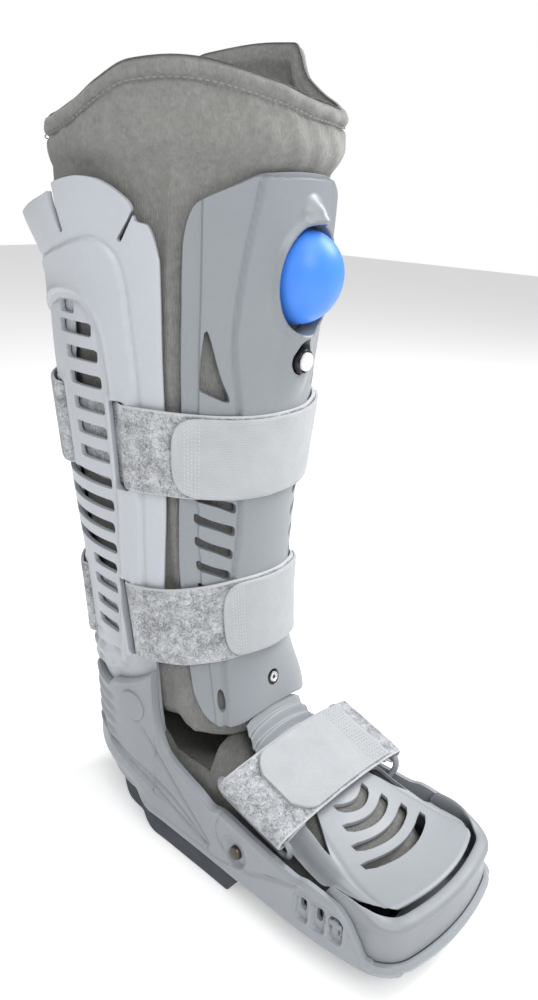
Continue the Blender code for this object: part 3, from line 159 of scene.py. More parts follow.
# The leg column: height, half width, half depth, rearward shift.
legRows = (
    (0.0602, 0.0480, 0.0720, 0.0020),
    (0.1002, 0.0500, 0.0700, 0.0060),
    (0.1299, 0.0520, 0.0690, 0.0090),
    (0.1699, 0.0560, 0.0680, 0.0120),
    (0.2098, 0.0620, 0.0690, 0.0140),
    (0.2498, 0.0670, 0.0720, 0.0150),
    (0.3001, 0.0730, 0.0760, 0.0150),
    (0.3500, 0.0780, 0.0780, 0.0130),
    (0.3900, 0.0810, 0.0790, 0.0120),
    (0.4300, 0.0820, 0.0800, 0.0120),
)
wall = 0.003
gap = 0.0004


def legPoint(angle, height, offset=0.0):
    angle, height, offset = np.broadcast_arrays(np.asarray(angle, float), height, offset)
    low = ease((0.145 - height) / 0.045)
    around = np.abs(angle)
    place = np.where(around < 40.0, 0.2 + 0.8 * ease(around / 36.0), ease((72.0 - around) / 32.0))
    grown = offset + 0.009 * low * place
    turn = np.radians(angle)
    x = (curve(legRows, height) + grown) * np.sin(turn)
    y = curve(legRows, height, 3) - (curve(legRows, height, 2) + grown) * np.cos(turn)
    return np.stack([x, y, height + 0.0 * x], axis=-1)


def legNormal(angle, height, offset=0.0):
    side = legPoint(angle + 1, height, offset) - legPoint(angle - 1, height, offset)
    up = legPoint(angle, height + 0.002, offset) - legPoint(angle, height - 0.002, offset)
    made = np.cross(side, up)
    return made / np.linalg.norm(made, axis=-1, keepdims=True)


# Distance round the leg in metres, so that reliefs keep their width.
def arc(angle, height):
    return np.radians(angle) * (curve(legRows, height) + curve(legRows, height, 2)) / 2


def legPath(points, count=10):
    p = rounded([(a, z / 1000.0) for a, z in points], count)
    return np.stack([arc(p[:, 0], p[:, 1]), p[:, 1]], axis=-1)


# Meshes.


def makeMesh(name, points, faces, uv=None):
    mesh = bpy.data.meshes.new(name)
    points = np.asarray(points, float).reshape(-1, 3) + shift
    mesh.from_pydata(points.tolist(), [], [tuple(f) for f in faces])
    if uv is not None:
        layer = mesh.uv_layers.new(name="UVMap")
        loops = np.empty(len(mesh.loops), np.int32)
        mesh.loops.foreach_get("vertex_index", loops)
        layer.data.foreach_set("uv", np.asarray(uv, np.float32).reshape(-1, 2)[loops].ravel())
    mesh.update()
    return mesh


def makePiece(name, points, faces, finish, uv=None, weld=0.0, sharp=32.0):
    mesh = makeMesh(name, points, faces, uv)
    work = bmesh.new()
    work.from_mesh(mesh)
    if weld:
        bmesh.ops.remove_doubles(work, verts=work.verts, dist=weld)
    bmesh.ops.recalc_face_normals(work, faces=work.faces)
    work.to_mesh(mesh)
    work.free()
    thing = bpy.data.objects.new(name, mesh)
    bpy.context.scene.collection.objects.link(thing)
    if finish:
        mesh.materials.append(finish)
        mesh.shade_smooth()
        if sharp:
            mesh.set_sharp_from_angle(angle=math.radians(sharp))
    return thing


def slabFaces(rows, columns, closed=False):
    half = rows * columns
    i, j = np.meshgrid(np.arange(rows - 1), np.arange(columns if closed else columns - 1), indexing="ij")
    k = (j + 1) % columns
    a, b, c, d = i * columns + j, i * columns + k, (i + 1) * columns + k, (i + 1) * columns + j
    faces = np.stack([a, b, c, d], -1).reshape(-1, 4).tolist()
    faces += (np.stack([d, c, b, a], -1).reshape(-1, 4) + half).tolist()
    top = (rows - 1) * columns
    for j in range(columns if closed else columns - 1):
        k = (j + 1) % columns
        faces.append((half + j, half + k, k, j))
        faces.append((top + j, top + k, half + top + k, half + top + j))
    if not closed:
        last = columns - 1
        for i in range(rows - 1):
            a, b = i * columns, (i + 1) * columns
            faces.append((a, b, half + b, half + a))
            faces.append((half + a + last, half + b + last, b + last, a + last))
    return faces


def slabPiece(name, outer, inner, finish, uv=None, closed=False, sharp=32.0):
    rows, columns = outer.shape[:2]
    points = np.concatenate([outer.reshape(-1, 3), inner.reshape(-1, 3)])
    both = None if uv is None else np.concatenate([uv.reshape(-1, 2)] * 2)
    return makePiece(name, points, slabFaces(rows, columns, closed), finish, both, sharp=sharp)


def loftFaces(rings, count, closed=False):
    faces = []
    for i in range(rings if closed else rings - 1):
        n = (i + 1) % rings
        for j in range(count):
            k = (j + 1) % count
            faces.append((i * count + j, i * count + k, n * count + k, n * count + j))
    if not closed:
        faces.append(tuple(range(count - 1, -1, -1)))
        faces.append(tuple((rings - 1) * count + j for j in range(count)))
    return faces


# Applies the modifiers and keeps the object.
def settled(piece):
    bpy.context.view_layer.update()
    graph = bpy.context.evaluated_depsgraph_get()
    mesh = bpy.data.meshes.new_from_object(piece.evaluated_get(graph))
    piece.modifiers.clear()
    old = piece.data
    piece.data = mesh
    bpy.data.meshes.remove(old)
    return piece


# Cuts closed prisms from a piece; each is a list of two equal rings or more.
def cutOut(piece, prisms, sharp=32.0):
    points, faces = [], []
    for rings in prisms:
        count, start = len(rings[0]), len(points)
        for ring in rings:
            points.extend(np.asarray(ring).tolist())
        faces += [tuple(start + i for i in f) for f in loftFaces(len(rings), count)]
    tool = makePiece(piece.name + "Cut", points, faces, None)
    change = piece.modifiers.new("cut", "BOOLEAN")
    change.operation = "DIFFERENCE"
    change.solver = "EXACT"
    change.object = tool
    settled(piece)
    bpy.data.objects.remove(tool)
    piece.data.set_sharp_from_angle(angle=math.radians(sharp))
    return piece


def legPrism(ring, low, high):
    ring = np.asarray(ring, float)
    return [legPoint(ring[:, 0], ring[:, 1], low), legPoint(ring[:, 0], ring[:, 1], high)]


# Rounded slot between two angles, in angle and height.
def slotRing(first, last, height, half, slope=0.0, corner=0.002, count=4):
    wide = abs(last - first) * math.pi / 180.0 * float(curve(legRows, height))
    corner = min(corner, half * 0.98, wide * 0.45)
    ring = []
    for sx, sy, start in ((1, 1, 0), (-1, 1, 90), (-1, -1, 180), (1, -1, 270)):
        for k in range(count + 1):
            t = math.radians(start + 90.0 * k / count)
            u = sx * (wide / 2 - corner) + corner * math.cos(t)
            v = sy * (half - corner) + corner * math.sin(t)
            share = u / wide
            angle = (first + last) / 2 + share * abs(last - first)
            ring.append((angle, height + v + slope * share))
    return ring


# A body turned about an axis from radii and heights.
def turnedPiece(name, profile, place, axis, finish, sides=48, sharp=30.0):
    profile = np.asarray(profile, float)
    turn = np.linspace(0.0, 2 * np.pi, sides, endpoint=False)
    rings = np.stack([np.outer(profile[:, 0], np.cos(turn)), np.outer(profile[:, 0], np.sin(turn)),
                      np.repeat(profile[:, 1:2], sides, 1)], axis=-1)
    matrix = np.array(Vector(axis).to_track_quat("Z", "Y").to_matrix())
    points = rings.reshape(-1, 3) @ matrix.T + np.asarray(place)
    return makePiece(name, points, loftFaces(len(profile), sides), finish, weld=1e-6, sharp=sharp)


# Materials.


class Finish:
    def __init__(self, name, colour, roughness, **fixed):
        self.made = bpy.data.materials.new(name)
        self.made.use_nodes = True
        self.tree = self.made.node_tree
        self.shader = self.tree.nodes["Principled BSDF"]
        self.shader.inputs["Base Color"].default_value = (*colour, 1.0)
        self.shader.inputs["Roughness"].default_value = roughness
        for socket, value in fixed.items():
            self.shader.inputs[socket.replace("_", " ")].default_value = value
        self.place = self.node("ShaderNodeTexCoord")
        self.heights = []

    def node(self, kind, inputs=None, **settings):
        made = self.tree.nodes.new(kind)
        for key, value in settings.items():
            setattr(made, key, value)
        for key, value in (inputs or {}).items():
            self.link(value, made.inputs[key])
        return made

    def link(self, value, socket):
        if isinstance(value, bpy.types.NodeSocket):
            self.tree.links.new(value, socket)
        else:
            socket.default_value = value

    def where(self, space="Object", scale=(1, 1, 1), turn=(0, 0, 0)):
        inputs = {"Vector": self.place.outputs[space], "Scale": scale, "Rotation": turn}
        return self.node("ShaderNodeMapping", inputs).outputs[0]

    def noise(self, scale, detail=3.0, rough=0.55, vector=None, distortion=0.0):
        inputs = {"Scale": scale, "Detail": detail, "Roughness": rough, "Distortion": distortion}
        inputs["Vector"] = vector or self.place.outputs["Object"]
        return self.node("ShaderNodeTexNoise", inputs).outputs["Fac"]

    def cells(self, scale, vector=None):
        inputs = {"Scale": scale, "Vector": vector or self.place.outputs["Object"]}
        return self.node("ShaderNodeTexVoronoi", inputs).outputs["Distance"]

    def waves(self, scale, vector, distortion=0.0, direction="X", detail=2.0, detailScale=1.0):
        inputs = {"Scale": scale, "Vector": vector, "Distortion": distortion, "Detail": detail}
        inputs["Detail Scale"] = detailScale
        return self.node("ShaderNodeTexWave", inputs, bands_direction=direction).outputs["Fac"]

    def sum(self, a, b, operation="ADD"):
        return self.node("ShaderNodeMath", {0: a, 1: b}, operation=operation).outputs[0]

    def axis(self, space, number):
        return self.node("ShaderNodeSeparateXYZ", {0: self.place.outputs[space]}).outputs[number]

    def remap(self, value, low, high, first=0.0, last=1.0):
        inputs = {"Value": value, "From Min": low, "From Max": high, "To Min": first, "To Max": last}
        return self.node("ShaderNodeMapRange", inputs).outputs[0]

    def mix(self, factor, first, last):
        made = self.node("ShaderNodeMix", data_type="RGBA")
        self.link(factor, made.inputs[0])
        for value, socket in ((first, made.inputs[6]), (last, made.inputs[7])):
            self.link(value if isinstance(value, bpy.types.NodeSocket) else (*value, 1.0), socket)
        return made.outputs[2]

    def colour(self, value):
        self.link(value, self.shader.inputs["Base Color"])

    def rough(self, value):
        self.link(value, self.shader.inputs["Roughness"])

    def relief(self, value, distance, strength=1.0):
        self.heights.append((value, distance, strength))

    def finish(self, edge=0.0):
        normal = self.node("ShaderNodeBevel", {"Radius": edge}, samples=4).outputs[0] if edge else None
        for value, distance, strength in self.heights:
            inputs = {"Height": value, "Distance": distance, "Strength": strength}
            if normal is not None:
                inputs["Normal"] = normal
            normal = self.node("ShaderNodeBump", inputs).outputs[0]
        if normal is not None:
            self.link(normal, self.shader.inputs["Normal"])
        return self.made


def shade(colour, factor):
    return tuple(min(1.0, c * factor) for c in colour)


def mouldedPlastic(name, colour, roughness=0.42, edge=0.0006, blotch=0.06):
    f = Finish(name, colour, roughness, Specular_IOR_Level=0.42)
    cloudy = f.noise(9.0, 4.0)
    specks = f.noise(420.0, 2.0)
    tone = f.sum(f.sum(cloudy, 0.75, "MULTIPLY"), f.sum(specks, 0.25, "MULTIPLY"))
    wide = f.remap(tone, 0.3, 0.7)
    f.colour(f.mix(wide, shade(colour, 1.0 - blotch), shade(colour, 1.0 + blotch)))
    scuffs = f.noise(55.0, 5.0, 0.6, f.where(scale=(1, 1, 0.25)))
    f.rough(f.remap(scuffs, 0.3, 0.7, roughness - 0.06, roughness + 0.07))
    f.relief(f.noise(1500.0, 2.0), 0.00008, 0.35)
    f.relief(f.noise(70.0, 2.0), 0.0004, 0.10)
    return f.finish(edge)


def fleece(name, colour, ribs=0.0):
    f = Finish(name, colour, 0.95, Specular_IOR_Level=0.12, Sheen_Weight=0.28, Sheen_Roughness=0.55)
    f.shader.inputs["Sheen Tint"].default_value = (0.95, 0.95, 0.92, 1.0)
    fibre = f.noise(950.0, 3.0, 0.65, f.where(scale=(1, 1, 0.45)), 0.4)
    tufts = f.noise(260.0, 3.0, 0.6, distortion=0.6)
    brushed = f.noise(24.0, 3.0, 0.5)
    tone = f.sum(f.sum(fibre, 0.45, "MULTIPLY"), f.sum(tufts, 0.55, "MULTIPLY"))
    tone = f.sum(tone, f.sum(f.sum(brushed, 0.5, "SUBTRACT"), 0.12, "MULTIPLY"))
    f.colour(f.mix(f.remap(tone, 0.33, 0.67), shade(colour, 0.80), shade(colour, 1.22)))
    if ribs:
        lines = f.waves(ribs, f.place.outputs["UV"], 1.1, "X", 2.0, 60.0)
        tall = f.axis("Object", 2)
        f.relief(f.sum(lines, f.remap(tall, 0.405, 0.385), "MULTIPLY"), 0.0007, 0.55)
    f.relief(tufts, 0.0006, 0.45)
    f.relief(fibre, 0.0006, 0.7)
    return f.finish()


# Rear shell.

shellSettings = {
    "top": ((54, 350), (55.2, 360), (56.5, 369.5), (57.5, 374.5), (59.5, 379), (63.6, 380.5), (65.2, 388),
            (68.8, 392.3), (74, 396.5), (79.3, 399.1), (85, 399.8), (92, 398), (95, 396.4), (96.3, 395.2),
            (98.5, 391.6), (106, 387), (115.8, 381.8), (128, 378), (150, 376), (180, 376)),
    "front": ((0.077, 74.0), (0.129, 72.0), (0.144, 67.0), (0.181, 60.0), (0.236, 54.7), (0.286, 54.0),
              (0.353, 54.8), (0.400, 55.5)),
    "flare": 0.012,
    "seat": ((70, 0.132), (79, 0.1221), (95, 0.1082), (111, 0.096)),
    "slitWidth": 0.0026,
    "slits": (((97.3, 396), (94.5, 374.1)), ((64.6, 383.5), (69.6, 371.7))),
    # each vent: first angle, last angle, middle height, half height
    "vents": ((94.5, 105.5, 335, 3.3), (85, 107, 324.5, 3.6), (82.5, 103, 311, 3.5), (81.5, 102, 297, 3.5),
              (81, 101.5, 283, 3.5), (81, 101.5, 269, 3.5), (81, 101.5, 255, 3.5), (81.5, 127, 240, 3.5),
              (82, 127, 226, 3.5), (83.5, 127, 212, 3.4), (84.5, 126, 198.5, 3.4), (87, 107.5, 185, 3.4),
              (89, 110, 171, 3.4), (91.5, 111.5, 156.5, 3.3), (93.5, 113, 142.5, 3.2)),
    "outerCrease": ((135, 350), (125, 354), (114.1, 358.5), (97.1, 365.6), (83.8, 370.9), (75.6, 367.4),
                    (70.7, 358.4), (68.1, 338), (65.4, 290), (66.6, 239), (71.6, 179), (76, 140)),
    "innerCrease": ((135, 326), (126, 332.6), (115, 339), (102.5, 343.2), (89.8, 342.1), (82.3, 332.1),
                    (79, 319), (77, 290), (77.5, 244), (81, 205), (87, 160), (95, 118)),
    "wallDepth": 0.003,
}


def strapMiddle(s, angle):
    around = np.abs(angle)
    front = s["frontRise"] * ease((75.0 - around) / 65.0)
    return s["height"] + front - s["rearDrop"] * ease((around - 90.0) / 35.0)


calfStrap = {"height": 0.264, "frontRise": -0.004, "rearDrop": -0.003, "front": (70.5, 78.5),
             "rear": (109.5, 117.5), "tab": (-51.0, 44.0)}
ankleStrap = {"height": 0.1555, "frontRise": 0.009, "rearDrop": 0.008, "front": (78.5, 86.5),
              "rear": (121.0, 129.5), "tab": (-31.0, 46.0)}
strapWidth = 0.048


def shellRelief(s, angle, height):
    around = np.abs(angle)
    u, v = arc(around, height), height
    relief = np.zeros(np.shape(u))
    outer = legPath(s["outerCrease"])
    away = pathDistance(u, v, outer)
    ring = np.vstack([outer, legPath(((100, 110), (175, 120), (175, 345)))])
    side = np.where(insideOf(u, v, ring), 1.0, -1.0) * away
    relief += 0.0014 * ease((side + 0.0008) / 0.0022) - 0.0007 * hill(side, -0.0010, 0.0012)
    inner = legPath(s["innerCrease"])
    away = pathDistance(u, v, inner)
    ring = np.vstack([inner, legPath(((170, 115), (170, 330)))])
    side = np.where(insideOf(u, v, ring), 1.0, -1.0) * away
    relief -= 0.0015 * ease((side + 0.0003) / 0.0020) - 0.0005 * hill(side, -0.0012, 0.0010)
    relief -= 0.0009 * hill(side, 0.0045, 0.0011) * ease((height - 0.300) / 0.02)
    # shallow ribs between the last vent and the heel
    low = ease((0.135 - height) / 0.006) * ease((around - 92.0) / 6.0) * ease((176.0 - around) / 6.0)
    relief -= 0.0014 * low * unit(np.sin((height + 0.00022 * (around - 100)) * 2 * np.pi / 0.0095))
    # the slot strap edges stand up a little
    for strap in (calfStrap, ankleStrap):
        for first, last in (strap["front"], strap["rear"]):
            middle = strapMiddle(strap, (first + last) / 2)
            du = np.abs(u - arc((first + last) / 2, height)) - arc((last - first) / 2, height)
            dv = np.abs(v - middle) - strapWidth / 2 - 0.0015
            off = np.maximum(du, dv)
            relief += 0.0009 * hill(off, 0.0016, 0.0014) * (off > -0.002)
    # the front edge rolls inwards
    edge = arc(around - curve(s["front"], height), height)
    relief -= 0.0009 * unit(1.0 - edge / 0.0022) ** 2
    return relief


def calfShell(s, finish):
    half = np.concatenate([np.linspace(0.0, 0.40, 22, endpoint=False), np.linspace(0.40, 1.0, 112)])
    shares = np.concatenate([-half[:0:-1], half])
    level = np.concatenate([np.linspace(0.0, 0.75, 95, endpoint=False), np.linspace(0.75, 1.0, 68)])
    guess = 180.0 - 110.0 * np.abs(shares)
    top = curve([(a, z / 1000) for a, z in s["top"]], 180.0 - 124.5 * np.abs(shares))
    seat = curve(s["seat"], np.maximum(guess, 70.0))
    height = 0.078 + (top[None] - 0.078) * level[:, None]
    front = curve(s["front"], height)
    around = 180.0 - (180.0 - front) * np.abs(shares)[None]
    # the top leans out towards its petals
    flare = s["flare"] * ease((height - 0.345) / 0.045) * ease((around - 70.0) / 50.0)
    inward = (wall + gap) * ease((seat[None] + 0.012 - height) / 0.0105)
    offset = flare - inward
    angle = -np.sign(shares)[None] * around
    angle = np.where(shares[None] == 0.0, 180.0, angle)
    relief = shellRelief(s, angle, height) * ease((height - seat[None] - 0.004) / 0.006)
    outer = legPoint(angle, height, offset + relief)
    inner = legPoint(angle, height, offset - s["wallDepth"])
    piece = slabPiece("calfShell", outer[:, ::-1], inner[:, ::-1], finish)
    cuts = []
    low, high = -0.010, s["flare"] + 0.008
    for side in (-1, 1):
        for first, last, middle, half in s["vents"]:
            cuts.append(legPrism(slotRing(side * first, side * last, middle / 1000, half / 1000), low,
                                 high))
        for top, bottom in s["slits"]:
            a, b = (arc(top[0], 0.385), top[1] / 1000), (arc(bottom[0], 0.385), bottom[1] / 1000)
            along = np.array([a[0] - b[0], a[1] - b[1]])
            long = np.hypot(*along)
            along /= long
            ring = []
            for k in range(9):
                t = math.pi + math.pi * k / 8
                ring.append((s["slitWidth"] / 2 * math.cos(t), s["slitWidth"] / 2 * math.sin(t)))
            ring += [(s["slitWidth"] * 0.7, long + 0.012), (-s["slitWidth"] * 0.7, long + 0.012)]
            turned = [(b[0] + along[1] * x + along[0] * y, b[1] - along[0] * x + along[1] * y) for x,
                      y in ring]
            scale = float(curve(legRows, 0.385) + curve(legRows, 0.385, 2)) / 2
            cuts.append(legPrism([(side * math.degrees(x / scale), y) for x, y in turned], low, high))
    cutOut(piece, cuts)
    cuts = []
    for side in (-1, 1):
        for strap in (calfStrap, ankleStrap):
            for first, last in (strap["front"], strap["rear"]):
                middle = float(strapMiddle(strap, (first + last) / 2))
                ring = slotRing(side * first, side * last, middle, strapWidth / 2 + 0.0015, corner=0.003)
                cuts.append(legPrism(ring, low, high))
    cutOut(piece, cuts)
    return piece


# The panels that show recessed behind the rear vents.

spineSettings = {
    "edge": ((0.178, 121.0), (0.236, 119.0), (0.250, 119.0), (0.290, 105.0), (0.330, 99.0), (0.348, 99.0)),
    "depth": -0.0036,
    "thickness": 0.0012,
    "panels": (("spinePanel", 0.186, 0.246), ("crownPanel", 0.292, 0.346)),
}


def spinePanel(s, finish, name, low, high):
    level = np.linspace(low, high, 40)
    share = np.linspace(-1.0, 1.0, 90)
    height = np.repeat(level[:, None], 90, 1)
    around = 180.0 - (180.0 - curve(s["edge"], height)) * np.abs(share)[None]
    angle = np.where(share[None] == 0.0, 180.0, -np.sign(share)[None] * around)
    ribs = 0.0006 * unit(np.sin(height * 2 * np.pi / 0.0138))
    edge = 0.0008 * unit(1.0 - arc(around - curve(s["edge"], height), height) / 0.0016) ** 2
    outer = legPoint(angle, height, s["depth"] + ribs * 0.4 - edge)
    inner = legPoint(angle, height, s["depth"] - s["thickness"])
    return slabPiece(name, outer[:, ::-1], inner[:, ::-1], finish)


# Shin plate.

shinSettings = {
    "columns": 150,
    "rows": 200,
    "top": ((0, 406), (16, 405), (30, 398), (39, 392.5), (42, 390), (44, 386), (45.5, 380), (46.6, 371),
            (47, 358)),
    "bottom": ((0, 104), (15, 103.5), (30, 100), (38, 99), (42, 101), (46, 106), (48, 111), (50, 118),
               (51, 130)),
    "side": ((0.086, 51.0), (0.181, 51.0), (0.224, 49.0), (0.292, 47.0), (0.408, 47.0)),
    "crease": ((-18.5, 403), (-20.5, 387), (-23, 370), (-25.5, 345), (-26, 320), (-23, 293), (-20, 255),
               (-19, 224), (-21, 199), (-27, 160), (-32, 130), (-35, 96)),
    "bulb": (4.0, 0.355, 0.0205, 0.0250),
    "valve": (5.0, 0.312),
    "hump": (4.0, 0.3865, 0.0095, 0.0105, 0.0052),
}


# About how far outside an oval a point lies.
def ovalDistance(angle, height, middle, high, halfWidth, halfLength):
    du = (arc(angle, height) - arc(middle, height)) / halfWidth
    dv = (height - high) / halfLength
    return (np.hypot(du, dv) - 1.0) * min(halfWidth, halfLength)


def shinRelief(s, angle, height):
    u, v = arc(angle, height), height
    relief = np.zeros(np.shape(u))
    path = legPath(s["crease"])
    for mirror in (1, -1):
        away = pathDistance(u * mirror, v, path)
        inner = insideOf(u * mirror, v, np.vstack([path, legPath(((40, 96), (40, 403)))]))
        side = np.where(inner, 1.0, -1.0) * away
        relief += 0.0012 * ease((side + 0.0008) / 0.0024) - 0.0011 * hill(side, -0.0010, 0.0013)
    middle, high, halfWidth, halfLength = s["bulb"]
    off = ovalDistance(angle, height, middle, high - 0.001, halfWidth + 0.0014, halfLength + 0.003)
    relief += 0.0034 * hill(off, 0.0008, 0.0020) + 0.0016 * hill(off, 0.003, 0.0060)
    middle, high, halfWidth, halfLength, rise = s["hump"]
    off = ovalDistance(angle, height, middle, high, halfWidth, halfLength)
    relief += rise * ease(-off / (halfWidth * 0.9)) ** 0.85
    neck = ease(1.0 - np.abs(u - arc(middle, height)) / 0.0100)
    relief += 0.0014 * neck * ease((0.396 - height) / 0.010) * ease((height - 0.370) / 0.006)
    # swelling that runs from the bulb's opening round the valve
    middle, high = s["valve"]
    off = ovalDistance(angle, height, middle, high - 0.002, 0.0190, 0.0240)
    relief += 0.0030 * ease(-off / 0.012)
    tail = np.hypot((u - arc(middle - 3, height)) / 0.011, (v - high - 0.018) / 0.016)
    relief += 0.0012 * ease((1.15 - tail) / 0.7)
    # a proud thin lip along the side edges
    edge = arc(curve(s["side"], height) - np.abs(angle), height)
    relief += 0.0006 * hill(edge, 0.0008, 0.0008)
    return relief


def shinPlate(s, finish):
    share = np.linspace(-1.0, 1.0, s["columns"])
    share = np.sign(share) * (1.0 - (1.0 - np.abs(share)) ** 1.12)
    level = np.linspace(0.0, 1.0, s["rows"])
    level = 0.5 - 0.5 * np.cos(np.pi * level) * (0.35 + 0.65 * np.abs(np.cos(np.pi * level)) ** 0.2)
    level = (level - level[0]) / (level[-1] - level[0])
    nominal = 47.0 * np.abs(share)
    top = curve([(a, z / 1000) for a, z in s["top"]], nominal)
    low = curve([(a, z / 1000) for a, z in s["bottom"]], nominal * 51.0 / 47.0)
    height = low[None] + (top - low)[None] * level[:, None]
    angle = share[None] * curve(s["side"], height)
    outer = legPoint(angle, height, shinRelief(s, angle, height))
    inner = legPoint(angle, height, -wall)
    piece = slabPiece("shinPlate", outer, inner, finish)
    cuts = []
    low, high = -0.008, 0.012
    for side in (-1, 1):
        window = rounded([(38.4, 0.3285), (39.6, 0.313), (39.8, 0.3000), (38.6, 0.2975), (33, 0.2940),
                          (28.4, 0.2918), (27.8, 0.2945), (31.5, 0.306), (36.6, 0.3275), (38.4, 0.3285)],
                          4)[:-1]
        cuts.append(legPrism([(side * a, z) for a, z in window], low, high))
        for row in range(8):
            middle = 0.2767 - 0.0139 * row
            first = 2.8 + float(curve([(z / 1000, -a) for a, z in s["crease"][::-1]], middle - 0.004))
            drop = 0.0096 if row < 6 else 0.0078
            ring = slotRing(side * first, side * 42.0, middle, 0.0030, slope=side * drop, corner=0.0018,
                            count=5)
            cuts.append(legPrism(ring, low, high))
        t = np.linspace(0.0, 2 * np.pi, 14, endpoint=False)
        tall = 0.0058 * np.cos(t) * np.where(np.cos(t) < 0, 1.0, 1.3)
        cuts.append(legPrism(np.stack([side * (36.3 + 2.1 * np.sin(t)), 0.1135 + tall], -1), low, high))
    middle, tall, halfWidth, halfLength = s["bulb"]
    t = np.linspace(0.0, 2 * np.pi, 56, endpoint=False)
    wide = float(curve(legRows, 0.353))
    ring = np.stack([middle + np.degrees(np.arcsin((halfWidth + 0.0013) * np.cos(t) / wide)),
                     tall - 0.0012 + (halfLength + 0.0032) * np.sin(t)], -1)
    cuts.append(legPrism(ring, low, high))
    middle, tall = s["valve"]
    ring = np.stack([middle + np.degrees(np.arcsin(0.0082 * np.cos(t) / wide)) - 1.2 * unit(np.sin(t)) ** 4,
                     tall + 0.0083 * np.sin(t) + 0.0034 * unit(np.sin(t)) ** 5], -1)
    cuts.append(legPrism(ring, low, high))
    cutOut(piece, cuts)
    return piece


# Bulb and valve.


def bulbPiece(finish):
    middle, tall, halfWidth, halfLength = shinSettings["bulb"]
    rings, sides = 40, 96
    t = np.linspace(0.0, 2 * np.pi, sides, endpoint=False)
    wide = float(curve(legRows, tall))
    points = []
    for k in range(rings):
        turn = 0.5 * np.pi * k / (rings - 1)
        reach = np.cos(turn) ** 0.92
        angle = middle + np.degrees(np.arcsin(halfWidth * 0.995 * reach * np.cos(t) / wide))
        height = tall + halfLength * 0.995 * reach * np.sin(t)
        points.append(legPoint(angle, height, -0.0024 + 0.0240 * np.sin(turn)))
    return makePiece("bulbDome", np.concatenate(points), loftFaces(rings, sides), finish, weld=2e-5,
                     sharp=60)


def valvePieces(black, white):
    middle, tall = shinSettings["valve"]
    axis = legNormal(middle, tall)
    seat = legPoint(middle, tall, -0.0022)
    body = [(0, 0), (0.0070, 0), (0.0071, 0.0085), (0.0070, 0.0096), (0.0066, 0.0103), (0.0060, 0.0106),
            (0.0056, 0.0103),
            (0.0055, 0.0098), (0.0055, 0.0072), (0.0, 0.0072)]
    cup = turnedPiece("valveCup", body, seat, axis, black, 64)
    knob = [(0, 0.0091), (0.0048, 0.0091), (0.00505, 0.0094), (0.00505, 0.0114), (0.0048, 0.0119),
            (0.0043, 0.0121),
            (0.0032, 0.01195), (0.0, 0.0117)]
    button = turnedPiece("valveKnob", knob, seat, axis, white, 64)
    return cup, button


# Plate over the foot.

plateSettings = {
    # reach, height, half width, skirt
    "rows": ((0.0645, 0.1025, 0.0243, 0.0062), (0.0720, 0.0965, 0.0262, 0.0072),
             (0.0801, 0.0905, 0.0291, 0.0082), (0.0899, 0.0845, 0.0354, 0.0103),
             (0.1000, 0.0795, 0.0412, 0.0133), (0.1100, 0.0750, 0.0437, 0.0164),
             (0.1200, 0.0700, 0.0451, 0.0174), (0.1301, 0.0660, 0.0458, 0.0169),
             (0.1399, 0.0623, 0.0473, 0.0144), (0.1500, 0.0590, 0.0485, 0.0113),
             (0.1602, 0.0562, 0.0485, 0.0051), (0.1700, 0.0543, 0.0480, 0.0036),
             (0.1801, 0.0532, 0.0470, 0.0026), (0.1930, 0.0525, 0.0446, 0.0015)),
    "start": 0.0645,
    "reach": 0.193,
    "columns": 130,
    "lengths": 190,
    "bellowsEnd": 0.083,
    "ridge": 0.0030,
    "wall": 0.0025,
    "arcWidth": 0.0060,
}


def platePoint(s, reach, across, lower=0.0, lift=0.0):
    reach, across = np.broadcast_arrays(np.asarray(reach, float), across)
    height, width, skirt = (curve(s["rows"], reach, k) for k in (1, 2, 3))
    share = reach / s["reach"]
    front = ease((share - 0.60) / 0.40)
    y = -reach + 0.011 * front * across**2
    whole = 0.004 * (1.0 - 0.6 * front)
    lower = lower * (1.0 - 0.4 * front)
    size = np.abs(across)
    arch = whole * np.minimum(size / 0.8, 1.0) ** 2
    fall = (skirt - whole) * ease((size - 0.74) / 0.26)
    spread = np.minimum(size, 0.8) / 0.8 * 0.86 + 0.14 * np.maximum(0.0, (size - 0.8) / 0.2)
    pinch = lower * ease((size - 0.7) / 0.2)
    x = np.sign(across) * (width * spread - pinch)
    drop = lower * (1.0 - 0.4 * ease((size - 0.8) / 0.15))
    return np.stack([x, y, height - arch - fall - drop + lift], axis=-1)


def plateRelief(s, reach, across):
    size = np.abs(across)
    bellows = ease((s["bellowsEnd"] + 0.003 - reach) / 0.004)
    waves = np.sin((reach - s["start"]) * 2 * np.pi / 0.0052)
    relief = s["ridge"] * bellows * waves * 0.5
    x = size * curve(s["rows"], reach, 2)
    # crease that runs from behind the side window to the front corner
    sides = ((0.090, 0.0280), (0.098, 0.0300), (0.120, 0.0385), (0.142, 0.0432), (0.165, 0.0462),
             (0.190, 0.0485))
    crease = pathDistance(x, reach, rounded([(b, a) for a, b in sides[1:]], 6))
    inside = x - curve(sides, reach)
    relief -= 0.0013 * ease((inside + 0.0002) / 0.0018) * (reach > 0.09)
    relief -= 0.0007 * hill(crease, 0.0, 0.0009)
    # soft channel from the window's tip to the front
    channel = rounded([(0.0225, 0.098), (0.0300, 0.130), (0.0372, 0.160), (0.0420, 0.190)], 6)
    line = pathDistance(x, reach, channel)
    relief -= 0.0006 * hill(line, 0.0004, 0.0010)
    edge = s["reach"] - reach
    relief -= 0.0007 * unit(1.0 - edge / 0.002) ** 2
    return relief


